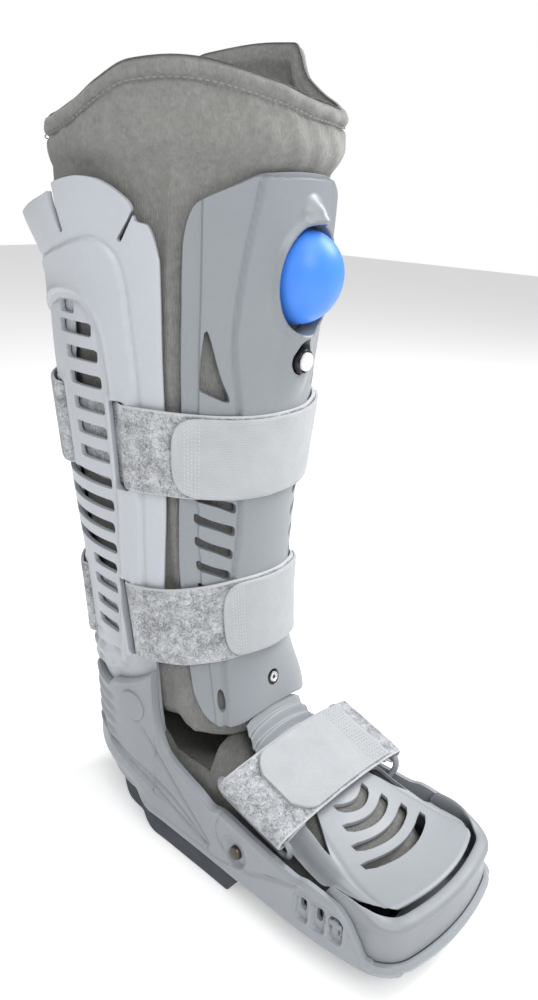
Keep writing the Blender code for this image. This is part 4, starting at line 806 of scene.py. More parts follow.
def footPlate(s, finish):
    share = np.linspace(-1.0, 1.0, s["columns"])
    reach = np.concatenate([np.linspace(s["start"], 0.086, 70, endpoint=False),
                            np.linspace(0.086, s["reach"], s["lengths"] - 70)])
    r, a = np.meshgrid(reach, share, indexing="ij")
    # rounded front corners
    pull = 0.0065 * unit((np.abs(a) - 0.80) / 0.20) ** 2.6 * ease((r - 0.165) / 0.028)
    r = r - pull
    lift = plateRelief(s, r, a)
    outer = platePoint(s, r, a, lift=lift)
    inside = np.minimum(lift, 0.0) * 0.6 + np.maximum(lift, 0.0) * 0.5
    inner = platePoint(s, r, a, lower=s["wall"], lift=inside)
    piece = slabPiece("footPlate", outer, inner, finish)
    cuts = []
    for row in range(4):
        middle = 0.1264 + 0.01129 * row
        half = 0.30 + 0.095 * row
        ring = []
        for sign in (1, -1):
            for k in range(13):
                side = sign * (1 - 2 * k / 12.0) * half
                bend = 0.0058 * (1.0 - (side / half) ** 2)
                end = math.sqrt(max(0.0, 1.0 - max(0.0, (abs(side) / half - 0.90) / 0.10) ** 2 * 0.55))
                ring.append((middle + bend + sign * s["arcWidth"] / 2 * end, side))
        ring = np.array(ring)
        cuts.append([platePoint(s, ring[:, 0], ring[:, 1], lift=k) for k in (-0.010, 0.010)])
    for side in (-1, 1):
        ring = rounded([(0.1150, 0.47), (0.1190, 0.62), (0.1215, 0.735), (0.128, 0.752), (0.1375, 0.760),
                        (0.1435, 0.752), (0.1420, 0.735), (0.130, 0.62), (0.1175, 0.48), (0.1150, 0.47)],
                        4)[:-1]
        cuts.append([platePoint(s, ring[:, 0], side * ring[:, 1], lift=k) for k in (-0.010, 0.010)])
    cutOut(piece, cuts)
    return piece


# Foot base, guard and sole.

baseSettings = {
    "toeReach": 0.2045,
    "corner": 0.024,
    "turn": 14.0,
    "widths": ((0.000, 0.0480), (0.0491, 0.0510), (0.1002, 0.0555), (0.1493, 0.0590), (0.1759, 0.0580),
               (0.2045, 0.0555)),
    "edge": ((0.0120, 0.1150), (0.0150, 0.0935), (0.0184, 0.0822), (0.0256, 0.0712), (0.0409, 0.0650),
             (0.0552, 0.0608), (0.0665, 0.0567), (0.0746, 0.0582), (0.0982, 0.0551), (0.1227, 0.0520),
             (0.1339, 0.0510), (0.1411, 0.0525), (0.1524, 0.0515), (0.1616, 0.0499), (0.1687, 0.0447),
             (0.1744, 0.0369), (0.1814, 0.0265)),
    "bottom": 0.018,
    "lip": 0.025,
    "wall": 0.003,
    "latches": (0.163, 0.152, 0.141),
    "rivet": (0.088, 0.038),
}
discHeight = 0.092
screwHeight = 0.120


def footWidth(reach):
    return curve(baseSettings["widths"], reach)


def guardWidth(reach):
    return np.minimum(footWidth(reach), footWidth(reach - 0.022))


# Right half of the foot's plan from the toe to the heel, with the outward direction.
def planPath(inset, width=footWidth, dense=1):
    s = baseSettings
    front, corner = s["toeReach"], s["corner"]
    bend = math.radians(s["turn"])
    cornerX = float(width(np.float64(front - corner))) - corner
    bowX = cornerX + corner * math.sin(bend)
    bow = bowX * math.tan(bend) / 2
    cornerY = -front + bow + corner * math.cos(bend)
    raw = [(bowX * k, -front + bow * k * k) for k in np.linspace(0.0, 0.93, 16)]
    for turn in np.linspace(90.0 - s["turn"], 0.0, 22):
        t = math.radians(turn)
        raw.append((cornerX + corner * math.cos(t), cornerY - corner * math.sin(t)))
    start = -cornerY - 0.0030
    for reach in np.linspace(start, 0.0015, 120 * dense):
        raw.append((float(width(np.float64(reach))), -reach))
    for angle in np.linspace(90.0, 180.0, 60):
        t = math.radians(angle)
        raw.append((0.0480 * math.sin(t), 0.002 - 0.072 * math.cos(t)))
    raw = np.array(raw)
    full = np.vstack([[-raw[1, 0], raw[1, 1]], raw, [-raw[-2, 0], raw[-2, 1]]])
    ahead = full[2:] - full[:-2]
    ahead /= np.linalg.norm(ahead, axis=1, keepdims=True)
    out = np.stack([-ahead[:, 1], ahead[:, 0]], -1) * -1.0
    for _ in range(3):
        out[1:-1] = (out[:-2] + 2 * out[1:-1] + out[2:]) / 4
    out /= np.linalg.norm(out, axis=1, keepdims=True)
    return raw - inset * out, out


def topEdge(raw):
    reach = -raw[:, 1]
    around = np.degrees(np.arctan2(np.abs(raw[:, 0]) / 0.048, (reach + 0.002) / 0.072))
    wing = curve(((68.0, 0.128), (70.0, 0.132), (73, 0.1312), (79.0, 0.1221), (95.0, 0.1082), (104, 0.1035),
                  (109, 0.099), (112.0, 0.096)), around)
    rail = curve(baseSettings["edge"], reach)
    top = np.where(reach > 0.185, baseSettings["lip"], rail)
    return np.where(reach > 0.0135, top, wing)


def basePoint(raw, height):
    x, y = raw[..., 0], raw[..., 1]
    behind = ease((y + 0.010) / 0.030)
    part = ease((y + 0.030) / 0.030)
    tall = np.maximum(height, 0.0602)
    wide, deep, back = (curve(legRows, tall, k) for k in (1, 2, 3))
    upX = x * (1.0 + (wide / 0.048 - 1.0) * part)
    upY = y + ((y - 0.002) * (deep / 0.072 - 1.0) + back - 0.002) * behind
    low = ease((0.042 - height) / 0.024) * behind * 0.009
    away = np.hypot(x, y - 0.002) + 1e-9
    return np.stack([upX - x / away * low, upY - (y - 0.002) / away * low, height + 0.0 * x], -1)


# What stands out of the base's outside and what is pressed into it.
def baseRelief(raw, height, top):
    y, z = np.broadcast_arrays(raw[..., 1], height)
    relief = np.zeros(np.shape(z))
    side = ease((0.175 + y) / 0.01)
    # rail: the band under the crease stands out
    crease = rounded([(0.074, 0.060), (0.018, 0.052), (-0.030, 0.043), (-0.056, 0.031), (-0.063, 0.026)], 6)
    away = pathDistance(y, z, crease)
    relief -= 0.0013 * hill(away, 0.0, 0.0012) * side
    outline = rounded([(0.010, 0.092), (-0.004, 0.076), (-0.030, 0.055), (-0.060, 0.0335), (-0.064, 0.030),
                       (-0.060, 0.0285), (-0.050, 0.031), (0.026, 0.052), (0.074, 0.062)], 6)
    away = pathDistance(y, z, outline)
    relief -= 0.0013 * hill(away, 0.0, 0.0012) * side
    triangle = np.array([(0.034, 0.0555), (-0.026, 0.0345), (-0.004, 0.0390), (0.034, 0.0500)])
    away = signedDistance(y, z, triangle)
    relief += 0.0013 * ease((away + 0.0008) / 0.0018)
    low = rounded([(-0.076, 0.064), (-0.070, 0.041), (-0.094, 0.031), (-0.115, 0.039), (-0.135, 0.047)], 6)
    away = pathDistance(y, z, low)
    relief -= 0.0010 * hill(away, 0.0, 0.0012)
    lower = z < curve(((-0.175, 0.030), (-0.135, 0.047), (-0.115, 0.039), (-0.094, 0.031), (-0.070, 0.024),
                       (0.080, 0.024)), y)
    relief += 0.0005 * lower * side * ease((z - 0.018) / 0.004)
    # recess with its rivet, and a frame round each latch hole
    away = np.hypot(y + baseSettings["rivet"][0], z - baseSettings["rivet"][1])
    relief += -0.0013 * ease((0.0088 - away) / 0.0012) + 0.0006 * hill(away, 0.0098, 0.0009)
    for reach in baseSettings["latches"]:
        dy, dz = np.abs(y + reach) - 0.0016, np.abs(z - 0.0362) - 0.0052
        off = np.hypot(np.maximum(dy, 0.0), np.maximum(dz, 0.0)) - 0.0026
        relief += -0.0016 * ease(-off / 0.0008) + 0.0007 * hill(off, 0.0007, 0.0007)
    # ribs over the heel
    heel = ease((y - 0.020) / 0.010) * ease((0.092 - z) / 0.004) * ease((z - 0.050) / 0.006)
    relief += 0.0009 * heel * np.sin((z - 0.002 * np.abs(y - 0.05) / 0.02) * 2 * np.pi / 0.0088)
    # toe end: the side panel ends in a soft step
    step = curve(((0.016, -0.1985), (0.030, -0.1900), (0.045, -0.1790), (0.052, -0.1700)), z)
    beside = raw[..., 0] > 0.030
    relief += beside * (0.0010 * ease((y - step) / 0.0016) - 0.0006 * hill(y, step, 0.0010))
    rim = top - z
    relief -= 0.0012 * unit(1.0 - rim / 0.0022) ** 2
    relief += 0.0007 * hill(rim, 0.0026, 0.0014)
    return relief


# A body from the sections of its right half: walls, and floors from side to side.
def mirrorTray(sections):
    length, count = sections.shape[:2]
    left = sections * np.array([-1.0, 1.0, 1.0])
    points = np.concatenate([sections.reshape(-1, 3), left.reshape(-1, 3)])
    i, k = np.meshgrid(np.arange(length - 1), np.arange(count - 1), indexing="ij")
    a = i * count + k
    walls = np.stack([a, a + count, a + count + 1, a + 1], -1).reshape(-1, 4)
    faces = walls.tolist() + (walls + length * count).tolist()
    for k in (0, count - 1):
        for i in range(length - 1):
            right, other = i * count + k, length * count + i * count + k
            faces.append((right, right + count, other + count, other))
    return points, faces


def footBase(s, finish):
    raw, out = planPath(0.0, dense=2)
    within, _ = planPath(s["wall"], dense=2)
    top = topEdge(raw)
    rise = np.linspace(0.0, 1.0, 66)
    floor = s["bottom"] + 0.003
    height = s["bottom"] + (top[:, None] - s["bottom"]) * rise[None]
    grid = np.repeat(raw[:, None], len(rise), 1)
    relief = baseRelief(grid, height, top[:, None])
    bottomRound = 0.0016 * unit(1.0 - (height - s["bottom"]) / 0.0025) ** 2
    outside = basePoint(grid + (relief - bottomRound)[..., None] * out[:, None], height)
    fall = np.array([1.0, 0.97, 0.9, 0.75, 0.5, 0.25, 0.08, 0.0])
    inHeight = floor + (top[:, None] - floor) * fall[None]
    inside = basePoint(np.repeat(within[:, None], len(fall), 1), inHeight)
    points, faces = mirrorTray(np.concatenate([outside, inside], 1))
    piece = makePiece("footShell", points, faces, finish, weld=1e-5, sharp=34)
    cuts = []
    for side in (-1, 1):
        for reach in s["latches"]:
            t = np.linspace(0, 2 * np.pi, 12, endpoint=False)
            wide, tall = (np.sign(turn(t)) * np.abs(turn(t)) ** 0.7 for turn in (np.cos, np.sin))
            ring = list(zip(-reach + 0.0021 * wide, 0.0385 + 0.0040 * tall))
            x = side * float(footWidth(reach))
            cuts.append([np.array([(x + k, y, z) for y, z in ring]) for k in (-0.008, 0.008)])
    cutOut(piece, cuts, sharp=34)
    return piece


def toeGuard(finish):
    s = baseSettings
    inset = s["wall"] + gap
    outer, _ = planPath(inset, guardWidth)
    inner, _ = planPath(inset + 0.0065, guardWidth)
    keep = -outer[:, 1] > 0.1500
    outer, inner = outer[keep], inner[keep]
    reach = -outer[:, 1]
    arm = ease((s["toeReach"] * 0.93 - reach) / 0.022)[:, None]
    top = 0.0488 + 0.006 * ease((s["toeReach"] - 0.012 - reach) / 0.030)
    top = top - 0.0060 * (1.0 - ease((reach - 0.1500) / 0.0060)) ** 2
    toe = rounded([(0.0, 0.0), (0.0, 0.35), (0.0, 0.66), (-0.16, 0.80), (-0.10, 0.90), (0.20, 0.965),
                   (0.70, 1.0), (0.97, 1.0), (1.0, 0.96), (0.9, 0.90), (0.55, 0.76), (0.40, 0.55),
                   (0.38, 0.0)], 3)
    side = rounded([(0.0, 0.0), (0.0, 0.35), (0.0, 0.60), (-0.05, 0.74), (-0.05, 0.88), (0.02, 0.97),
                    (0.16, 1.01), (0.27, 1.01), (0.36, 0.97), (0.39, 0.90), (0.38, 0.70), (0.38, 0.45),
                    (0.38, 0.0)], 3)
    share = toe[None, :, 0] * (1 - arm) + side[None, :, 0] * arm
    rise = toe[None, :, 1] * (1 - arm) + side[None, :, 1] * arm
    plan = outer[:, None] + (inner - outer)[:, None] * share[..., None]
    low = s["lip"] + gap
    z = low + (top[:, None] - low) * rise
    half = np.concatenate([plan, z[..., None]], -1)
    left = half[1:] * np.array([-1.0, 1.0, 1.0])
    rings = np.concatenate([half[::-1], left])
    points = rings.reshape(-1, 3)
    return makePiece("guardShell", points, loftFaces(len(rings), rings.shape[1]), finish, sharp=40)


def soleBottom(reach):
    return ease((-0.034 - reach) / 0.022) * 0.015 + ease((reach - 0.076) / 0.010) * 0.0146


def soleBlock(finish):
    raw, out = planPath(0.0035)
    top = 0.0179
    steps = np.linspace(0.0, 1.0, 9)
    low = soleBottom(-raw[:, 1])
    z = low[:, None] + (top - low[:, None]) * steps[None]
    grid = np.repeat(raw[:, None], len(steps), 1)
    above = z - low[:, None]
    bulge = -0.0010 * unit(1.0 - above / 0.0022) ** 2 - 0.0005 * hill(above, 0.006, 0.0006)
    placed = basePoint(grid + bulge[..., None] * out[:, None], np.full(z.shape, 0.018))
    placed[..., 2] = z
    points, faces = mirrorTray(placed)
    return makePiece("soleBlock", points, faces, finish, weld=1e-5, sharp=40)


# Straps.


def strapOffset(s, angle):
    around = np.abs(angle)
    outside, inside = 5 * gap, -(wall + 0.002 + 2 * gap)
    front, rear = s["front"], s["rear"]
    ahead = (around - front[0] - 0.4) / (front[1] - front[0] - 0.8)
    behind = (rear[1] - 0.4 - around) / (rear[1] - rear[0] - 0.8)
    share = np.where(around < (front[0] + front[1]) / 2 + 12.0, ahead, behind)
    return outside + (inside - outside) * ease(share)


def legStrap(name, s, finish, seed=0.0):
    angle = np.linspace(-180.0, 180.0, 280, endpoint=False)
    across = np.sin(np.linspace(-1.0, 1.0, 26) * np.pi / 2) * strapWidth / 2
    a, v = np.meshgrid(angle, across, indexing="ij")
    middle, offset = strapMiddle(s, a), strapOffset(s, a)
    edge = unit((np.abs(v) - strapWidth / 2 + 0.0012) / 0.0012)
    turn = np.radians(a)
    loose = 0.0004 * np.sin(turn * 7 + seed) * np.cos(v * 90.0)
    loose = loose + 0.0003 * np.sin(turn * 17 + v * 140.0 + seed)
    free = ease((s["front"][0] - np.abs(a)) / 6.0)
    thick = 0.0020 - 0.0011 * edge**2
    outer = legPoint(a, middle + v, offset + thick + loose * free)
    inner = legPoint(a, middle + v, offset + 0.0001)
    uv = np.stack([arc(a, middle), v], -1)
    piece = slabPiece(name, np.swapaxes(outer, 0, 1), np.swapaxes(inner, 0, 1), finish,
                      np.swapaxes(uv, 0, 1), closed=True, sharp=50)
    return piece


tabSettings = {"half": 0.0225, "roundEnd": 14.0, "power": 3.2, "thick": 0.0016, "seat": 0.0046,
               "footSeat": 0.0016}


# Half the width of a leg strap's tab, at an angle beyond its round end.
def tabHalf(beyond):
    s = tabSettings
    short = unit(1.0 - beyond / s["roundEnd"])
    return s["half"] * (1.0 - short ** s["power"]) ** (1 / s["power"])


def hookTab(name, s, finish):
    first, last = s["tab"]
    share = np.linspace(0.0, 1.0, 90) ** 1.25
    angle = first + (last - first) * share
    half = np.maximum(tabHalf(angle - first), 0.004)
    across = np.sin(np.linspace(-1.0, 1.0, 24) * np.pi / 2)
    a = np.repeat(angle[:, None], 24, 1)
    v = half[:, None] * across[None]
    middle = strapMiddle(s, a)
    offset, thick = tabSettings["seat"], tabSettings["thick"]
    edge = unit((np.abs(v) - half[:, None] + 0.0009) / 0.0009) + unit(1.0 - arc(a - first, middle) / 0.001)
    curl = 0.0007 * unit(1.0 - (a - first) / 9.0) ** 2
    outer = legPoint(a, middle + v, offset + thick - 0.0006 * unit(edge) ** 2 + curl)
    inner = legPoint(a, middle + v, offset + curl)
    uv = np.stack([arc(a, middle), v], -1)
    return slabPiece(name, np.swapaxes(outer, 0, 1), np.swapaxes(inner, 0, 1), finish,
                     np.swapaxes(uv, 0, 1), sharp=50)


footStrap = {"reach": 0.104, "crown": 0.0838, "slope": 20.0, "roll": 0.0535, "drop": 0.012,
             "radius": 0.0048, "width": 0.048}


def strapFrame(x, rise, along):
    s = footStrap
    slope = math.radians(s["slope"])
    x, rise, along = np.broadcast_arrays(np.asarray(x, float), rise, along)
    y = -s["reach"] - rise * math.sin(slope) - along * math.cos(slope)
    z = s["crown"] + rise * math.cos(slope) - along * math.sin(slope)
    return np.stack([x, y, z], -1)


def strapArch(x):
    s = footStrap
    return -(s["drop"] - s["radius"]) * (np.asarray(x) / s["roll"]) ** 2


def footStrapPiece(finish):
    s = footStrap
    under = ((s["roll"] - 0.0145, 0.0030), (s["roll"] - 0.010, 0.0034))
    path = [(x, float(strapArch(x)) - down) for x, down in under]
    for turn in np.linspace(-90.0, 90.0, 25):
        t = math.radians(turn)
        path.append((s["roll"] + s["radius"] * math.cos(t), -s["drop"] + s["radius"] * math.sin(t)))
    path += [(x, float(strapArch(x))) for x in np.linspace(s["roll"] * 0.86, 0.0, 34)]
    whole = np.array(path + [(-x, h) for x, h in path[-2::-1]])
    ahead = np.gradient(whole, axis=0)
    ahead /= np.linalg.norm(ahead, axis=1, keepdims=True)
    for _ in range(2):
        ahead[1:-1] = (ahead[:-2] + 2 * ahead[1:-1] + ahead[2:]) / 4
    side = np.stack([-ahead[:, 1], ahead[:, 0]], -1)
    across = np.sin(np.linspace(-1.0, 1.0, 26) * np.pi / 2) * s["width"] / 2
    edge = unit((np.abs(across) - s["width"] / 2 + 0.0012) / 0.0012)
    length = np.concatenate([[0], np.cumsum(np.linalg.norm(np.diff(whole, axis=0), axis=1))])
    outer, inner = [], []
    for i in range(len(whole)):
        thick = 0.0010 - 0.0005 * edge**2
        ripple = 0.0002 * np.sin(length[i] * 260 + across * 90)
        for made, way in ((outer, -(thick + ripple)), (inner, thick)):
            made.append(strapFrame(whole[i, 0] + side[i, 0] * way, whole[i, 1] + side[i, 1] * way, across))
    uv = np.stack([np.repeat(length[:, None], 26, 1), np.repeat(across[None], len(whole), 0)], -1)
    return slabPiece("footBand", np.array(outer), np.array(inner), finish, uv, sharp=50)


def footTabPiece(finish):
    x = np.concatenate([np.linspace(-0.0405, -0.028, 22), np.linspace(-0.027, 0.0425, 60)])
    half = tabSettings["half"] * np.clip(1.0 - unit((-0.028 - x) / 0.0150) ** 1.8, 0.05, 1.0) ** 0.55
    across = np.sin(np.linspace(-1.0, 1.0, 24) * np.pi / 2)
    along = half[:, None] * across[None]
    lift, thick = tabSettings["footSeat"], tabSettings["thick"]
    edge = unit((np.abs(along) - half[:, None] + 0.0009) / 0.0009)
    xx = np.repeat(x[:, None], 24, 1)
    outer = strapFrame(xx, strapArch(xx) + lift + thick - 0.0006 * edge**2, along)
    inner = strapFrame(xx, strapArch(xx) + lift, along)
    uv = np.stack([xx, along], -1)
    return slabPiece("footTab", np.swapaxes(outer, 0, 1), np.swapaxes(inner, 0, 1), finish,
                     np.swapaxes(uv, 0, 1), sharp=50)


def strapRing(side, name, finish):
    s = footStrap
    half, corner, bar, drop = 0.028, 0.006, 0.0019, 0.0155
    path = []
    for cx, cy, first in ((1, 1, 0.0), (-1, 1, 90.0), (-1, -1, 180.0), (1, -1, 270.0)):
        for k in range(9):
            t = math.radians(first + 90.0 * k / 8)
            x = cx * (half - corner) + corner * math.cos(t)
            path.append((x, drop / 2 + cy * (drop / 2 - corner) + corner * math.sin(t)))
    path = np.array(path)
    ahead = np.roll(path, -1, 0) - np.roll(path, 1, 0)
    ahead /= np.linalg.norm(ahead, axis=1, keepdims=True)
    out = np.stack([ahead[:, 1], -ahead[:, 0]], -1)
    rings = []
    for t in np.linspace(0.0, 2 * np.pi, 16, endpoint=False):
        a = path[:, 0] + out[:, 0] * bar * math.cos(t)
        d = path[:, 1] + out[:, 1] * bar * math.cos(t)
        lean = side * (s["roll"] - 0.34 * d + bar * math.sin(t))
        rings.append(strapFrame(lean, -s["drop"] - d, a))
    rings = np.swapaxes(np.array(rings), 0, 1)
    return makePiece(name, rings.reshape(-1, 3), loftFaces(len(rings), 16, True), finish, sharp=60)


# Liner.

linerSettings = {
    "rim": ((-180, 0.4302), (-145, 0.4264), (-110, 0.4288), (-92, 0.4340), (-79, 0.4426), (-65, 0.4508),
            (-48, 0.4531), (-15, 0.4460), (5, 0.4402), (30, 0.4383), (58, 0.4455), (77, 0.4589),
            (85, 0.4770), (98, 0.4775), (130, 0.4713), (145, 0.4565), (160, 0.4398), (180, 0.4302)),
    "bottom": 0.088,
    "wall": 0.009,
    "hem": 0.0095,
    "level": 0.455,
    "levelShare": 0.87,
    "columns": 240,
    "rows": 150,
}


def linerOffset(angle, height):
    around = np.abs(angle)
    beside = ease((around - 51.0) / 5.0)
    front = -(wall + 3 * gap)
    back = front - 0.002 - 2 * gap
    low = ease((0.150 - height) / 0.012)
    back = back - 0.0016 * low
    offset = front + (back - front) * beside
    bare = ease((around - 50.5) / 4.0) * ease((67.0 - around) / 8.0)
    offset = offset + 0.0042 * low * bare
    # the strip between the shell and the plate swells out a little
    between = ease((around - 48.5) / 3.0) * ease((58.0 - around) / 4.0) * ease((height - 0.16) / 0.02)
    offset = offset + 0.0016 * between * ease((0.38 - height) / 0.03)
    free = ease((height - 0.404) / 0.016)
    loose = 0.001 - 0.0055 * ease((around - 50.0) / 60.0)
    return offset + (loose - offset) * free


def linerSleeve(s, finish):
    angle = np.linspace(-180.0, 180.0, s["columns"], endpoint=False)
    rise = np.linspace(0.0, 1.0, s["rows"])
    a, t = np.meshgrid(angle, rise, indexing="ij")
    a, t = a.T, t.T
    top = curve(s["rim"], a)
    # heights below the collar stay level round the leg
    part, even = s["levelShare"], s["level"]
    level = s["bottom"] + (even - s["bottom"]) * t
    height = np.where(t < part, level, level + (top - even) * ease((t - part) / (1.0 - part)))
    reference = np.minimum(height, np.where(t < part, height, even))
    offset = linerOffset(a, reference)
    below = top - height
    tuck = 0.0045 * unit(1.0 - (height - s["bottom"]) / 0.012) ** 2
    offset = offset - tuck
    collar = ease((height - 0.402) / 0.010)
    puff = 0.0022 * np.sin(unit((below - s["hem"]) / 0.034) * np.pi) * collar
    roll = 0.0017 * np.sin(unit(below / s["hem"]) * np.pi) ** 0.7
    seam = -0.0016 * hill(below, s["hem"], 0.0013)
    turn = np.radians(a)
    creases = 0.0010 * np.sin(turn * 5 + height * 46) * np.sin(turn * 3 - height * 95 + 1.0)
    creases += 0.0005 * np.sin(turn * 23 + height * 160 + 2 * np.sin(turn * 4))
    pucker = 0.0004 * np.sin(turn * 92) * hill(below - s["hem"], 0.003, 0.004)
    shown = unit(collar + (t > 0.86) * 0.6)
    offset = offset + (puff + roll + seam + creases * ease(below / 0.004) + pucker) * shown
    # ankle bulge with its gathers
    low = ease((0.133 - height) / 0.012) * ease((np.abs(a) - 42.0) / 10.0) * ease((80.0 - np.abs(a)) / 10.0)
    gathers = 0.0012 * np.sin(height * 230 + np.abs(turn) * 14)
    gathers += 0.0016 * np.sin(unit((height - s["bottom"]) / 0.05) * np.pi)
    offset = offset + low * gathers
    rounding = 0.0034 * unit(1.0 - below / 0.0034) ** 2
    outer = legPoint(a, height, offset - rounding)
    within = np.where(t < part, np.minimum(offset, -wall), offset)
    thick = s["wall"] - 2.2 * rounding
    lowRound = 0.003 * unit(1.0 - (height - s["bottom"]) / 0.004) ** 2
    inner = legPoint(a, height, within - thick + lowRound)
    uv = np.stack([arc(a, height), height], -1)
    return slabPiece("linerSleeve", outer, inner, finish, uv, closed=True, sharp=0)


bootieRows = ((-0.0664, 0.0877, 0.0860), (-0.0622, 0.0877, 0.0860), (-0.0504, 0.0877, 0.0860),
              (-0.0252, 0.0877, 0.0860), (-0.0034, 0.0877, 0.0851), (0.0134, 0.0877, 0.0731),
              (0.0218, 0.0877, 0.0662), (0.0487, 0.0877, 0.0662), (0.0638, 0.0817, 0.0636),
              (0.0756, 0.0774, 0.0619), (0.0907, 0.0740, 0.0568), (0.1075, 0.0774, 0.0516),
              (0.1243, 0.0705, 0.0464), (0.1411, 0.0636, 0.0430), (0.1546, 0.0516, 0.0396),
              (0.1638, 0.0464, 0.0370), (0.1680, 0.0404, 0.0344))


bootieHeel, bootieToe = -0.0664, 0.168
bootieOpen = (-0.0622, 0.0500)
bootieWall = 0.005


def bootieWidth(reach):
    inset = 0.003 + wall + 3 * gap
    along = np.clip((-reach - 0.002) / (0.072 - inset), 0.0, 0.995)
    behind = (0.048 - inset) * np.sqrt(1.0 - along**2)
    toe = ease((reach - bootieToe * 0.62) / (bootieToe * 0.38))
    ahead = (footWidth(reach) - inset - 0.0035 * ease((reach - 0.05) / 0.06)) * (1.0 - 0.42 * toe**2.2)
    return np.where(reach < -0.002, behind, ahead)


def linerBootie(finish):
    reach = np.linspace(bootieHeel, bootieToe, 130)
    half = bootieWidth(reach)
    top = curve(bootieRows, reach)
    side = curve(bootieRows, reach, 2)
    covered = np.maximum(reach, plateSettings["start"])
    height, width, skirt = (curve(plateSettings["rows"], covered, k) for k in (1, 2, 3))
    under = reach >= 0.0525
    held = ease((width - 0.037) / 0.006)
    half = np.where(under, half + (np.minimum(half, width - 0.0025 - 3 * gap) - half) * held, half)
    top = np.where(under, np.minimum(top, height - 0.0025 - 2 * gap - skirt * (1.0 - held)), top)
    share = reach / bootieToe
    ground = 0.0254 + 0.004 * ease((share - 0.9) / 0.1) + 0.010 * ease((-share - 0.28) / 0.12)
    keys = 14
    count = 84

    def sections(shrink):
        made = []
        for i in range(len(reach)):
            h = max(half[i] - shrink, 0.006)
            y = -reach[i] * (bootieToe - 1.4 * shrink) / bootieToe
            tall = top[i] - ground[i]
            s, low = (side[i] - ground[i]) / tall, 0.008 / tall
            ring = [(0.0, 0.0), (0.8, 0.0), (1.0, low), (1.0, 0.2 * low + 0.8 * s), (0.93, s),
                    (0.72, s + (1.0 - s) * 0.7), (0.36, 0.98), (0.0, 1.0)]
            ring += [(-x, u) for x, u in reversed(ring[1:-1])]
            ring = np.array(ring)
            dense = []
            for k in range(keys):
                a, b, c, d = ring[k - 1], ring[k], ring[(k + 1) % keys], ring[(k + 2) % keys]
                for t in np.linspace(0, 1, count // keys, endpoint=False):
                    dense.append(0.55 * passing(a, b, c, d, t) + 0.45 * (b + (c - b) * t))
            dense = np.array(dense)
            dense[:, 0] = np.clip(dense[:, 0], -1, 1)
            dense[:, 1] = unit(dense[:, 1])
            z = ground[i] + shrink + dense[:, 1] * (tall - 2 * shrink)
            made.append(np.stack([dense[:, 0] * h, np.full(count, y), z], -1))
        return np.array(made)

    outer, inner = sections(0.0), sections(bootieWall)
    ring = np.arange(count)[None]
    soft = np.sin(np.pi * unit((outer[..., 2] - 0.030) / 0.05))
    y, z = outer[..., 1], outer[..., 2]
    fold = 0.0007 * np.sin(y * 260 + z * 60) + 0.0005 * np.sin(y * 90 - z * 240)
    outer[..., 0] += np.sign(outer[..., 0]) * (fold - 0.0009) * soft * (np.abs(outer[..., 0]) > 0.01)
    length = len(reach)
    rim, across = 4 * count // keys, (keys - 4) * count // keys
    openFrom = int(np.argmax(reach > bootieOpen[0]))
    openTo = int(np.argmax(reach > bootieOpen[1]))
    points = np.concatenate([outer.reshape(-1, 3), inner.reshape(-1, 3)])
    whole = length * count
    faces = []
    for i in range(length - 1):
        for j in range(count):
            if openFrom <= i < openTo and rim <= j < across:
                continue
            k = (j + 1) % count
            a, b, c, d = i * count + j, i * count + k, (i + 1) * count + k, (i + 1) * count + j
            faces.append((a, b, c, d))
            faces.append((whole + d, whole + c, whole + b, whole + a))
    for i in (0, length - 1):
        faces.append(tuple(i * count + j for j in range(count)))
        faces.append(tuple(whole + i * count + j for j in reversed(range(count))))
    edge = [(openFrom, j) for j in range(rim, across)] + [(i, across) for i in range(openFrom, openTo)]
    edge += [(openTo, j) for j in range(across, rim, -1)] + [(i, rim) for i in range(openTo, openFrom, -1)]
    for (i, j), (m, n) in zip(edge, edge[1:] + edge[:1]):
        a, b = i * count + j, m * count + n
        faces.append((a, b, whole + b, whole + a))
    both = np.concatenate([outer.reshape(-1, 3), inner.reshape(-1, 3)])
    uv = np.stack([both[:, 1], both[:, 2] + np.abs(both[:, 0]) * 0.4], -1)
    return makePiece("linerBootie", points, faces, finish, uv, sharp=0)


# Fastenings.


# A domed cap with a bright ring and a hexagon socket in its middle.
def capScrew(name, place, axis, head, bright, radius, rise):
    r, h = radius, rise
    outside = [(0, 0), (r, 0), (r, h * 0.35), (r * 0.94, h * 0.62), (r * 0.80, h * 0.85),
               (r * 0.66, h * 0.97), (r * 0.60, h), (r * 0.56, h * 0.9), (0, h * 0.9)]
    cap = turnedPiece(name + "Cap", outside, place, axis, head, 48)
    ringProfile = [(0, h * 0.88), (r * 0.545, h * 0.88), (r * 0.545, h * 1.02), (r * 0.48, h * 1.12),
                   (r * 0.40, h * 1.10), (r * 0.36, h), (0, h)]
    inner = turnedPiece(name + "Ring", ringProfile, place, axis, bright, 48)
    t = np.linspace(0, 2 * np.pi, 6, endpoint=False)
    matrix = np.array(Vector(axis).to_track_quat("Z", "Y").to_matrix())
    socket = [np.stack([r * 0.24 * np.cos(t), r * 0.24 * np.sin(t), np.full(6, z)], -1) @ matrix.T + place
              for z in (h * 0.5, h * 1.5)]
    cutOut(inner, [socket])
    return cap, inner


def roundHead(name, place, axis, finish, radius, rise, step=0.0):
    profile = [(0, 0), (radius, 0), (radius, rise * 0.45), (radius * 0.965, rise * 0.75),
               (radius * 0.9, rise * 0.9), (radius * 0.72, rise * 0.99), (0, rise)]
    if step:
        profile = [(0, 0), (radius, 0), (radius, rise * 0.7), (radius * 0.97, rise * 0.92),
                   (radius * 0.93, rise), (radius * 0.3, rise * 0.97), (0, rise * 0.96)]
    return turnedPiece(name, profile, place, axis, finish, 56)


# Stitches, made with Geometry Nodes: a small thread laid at even steps along each path.


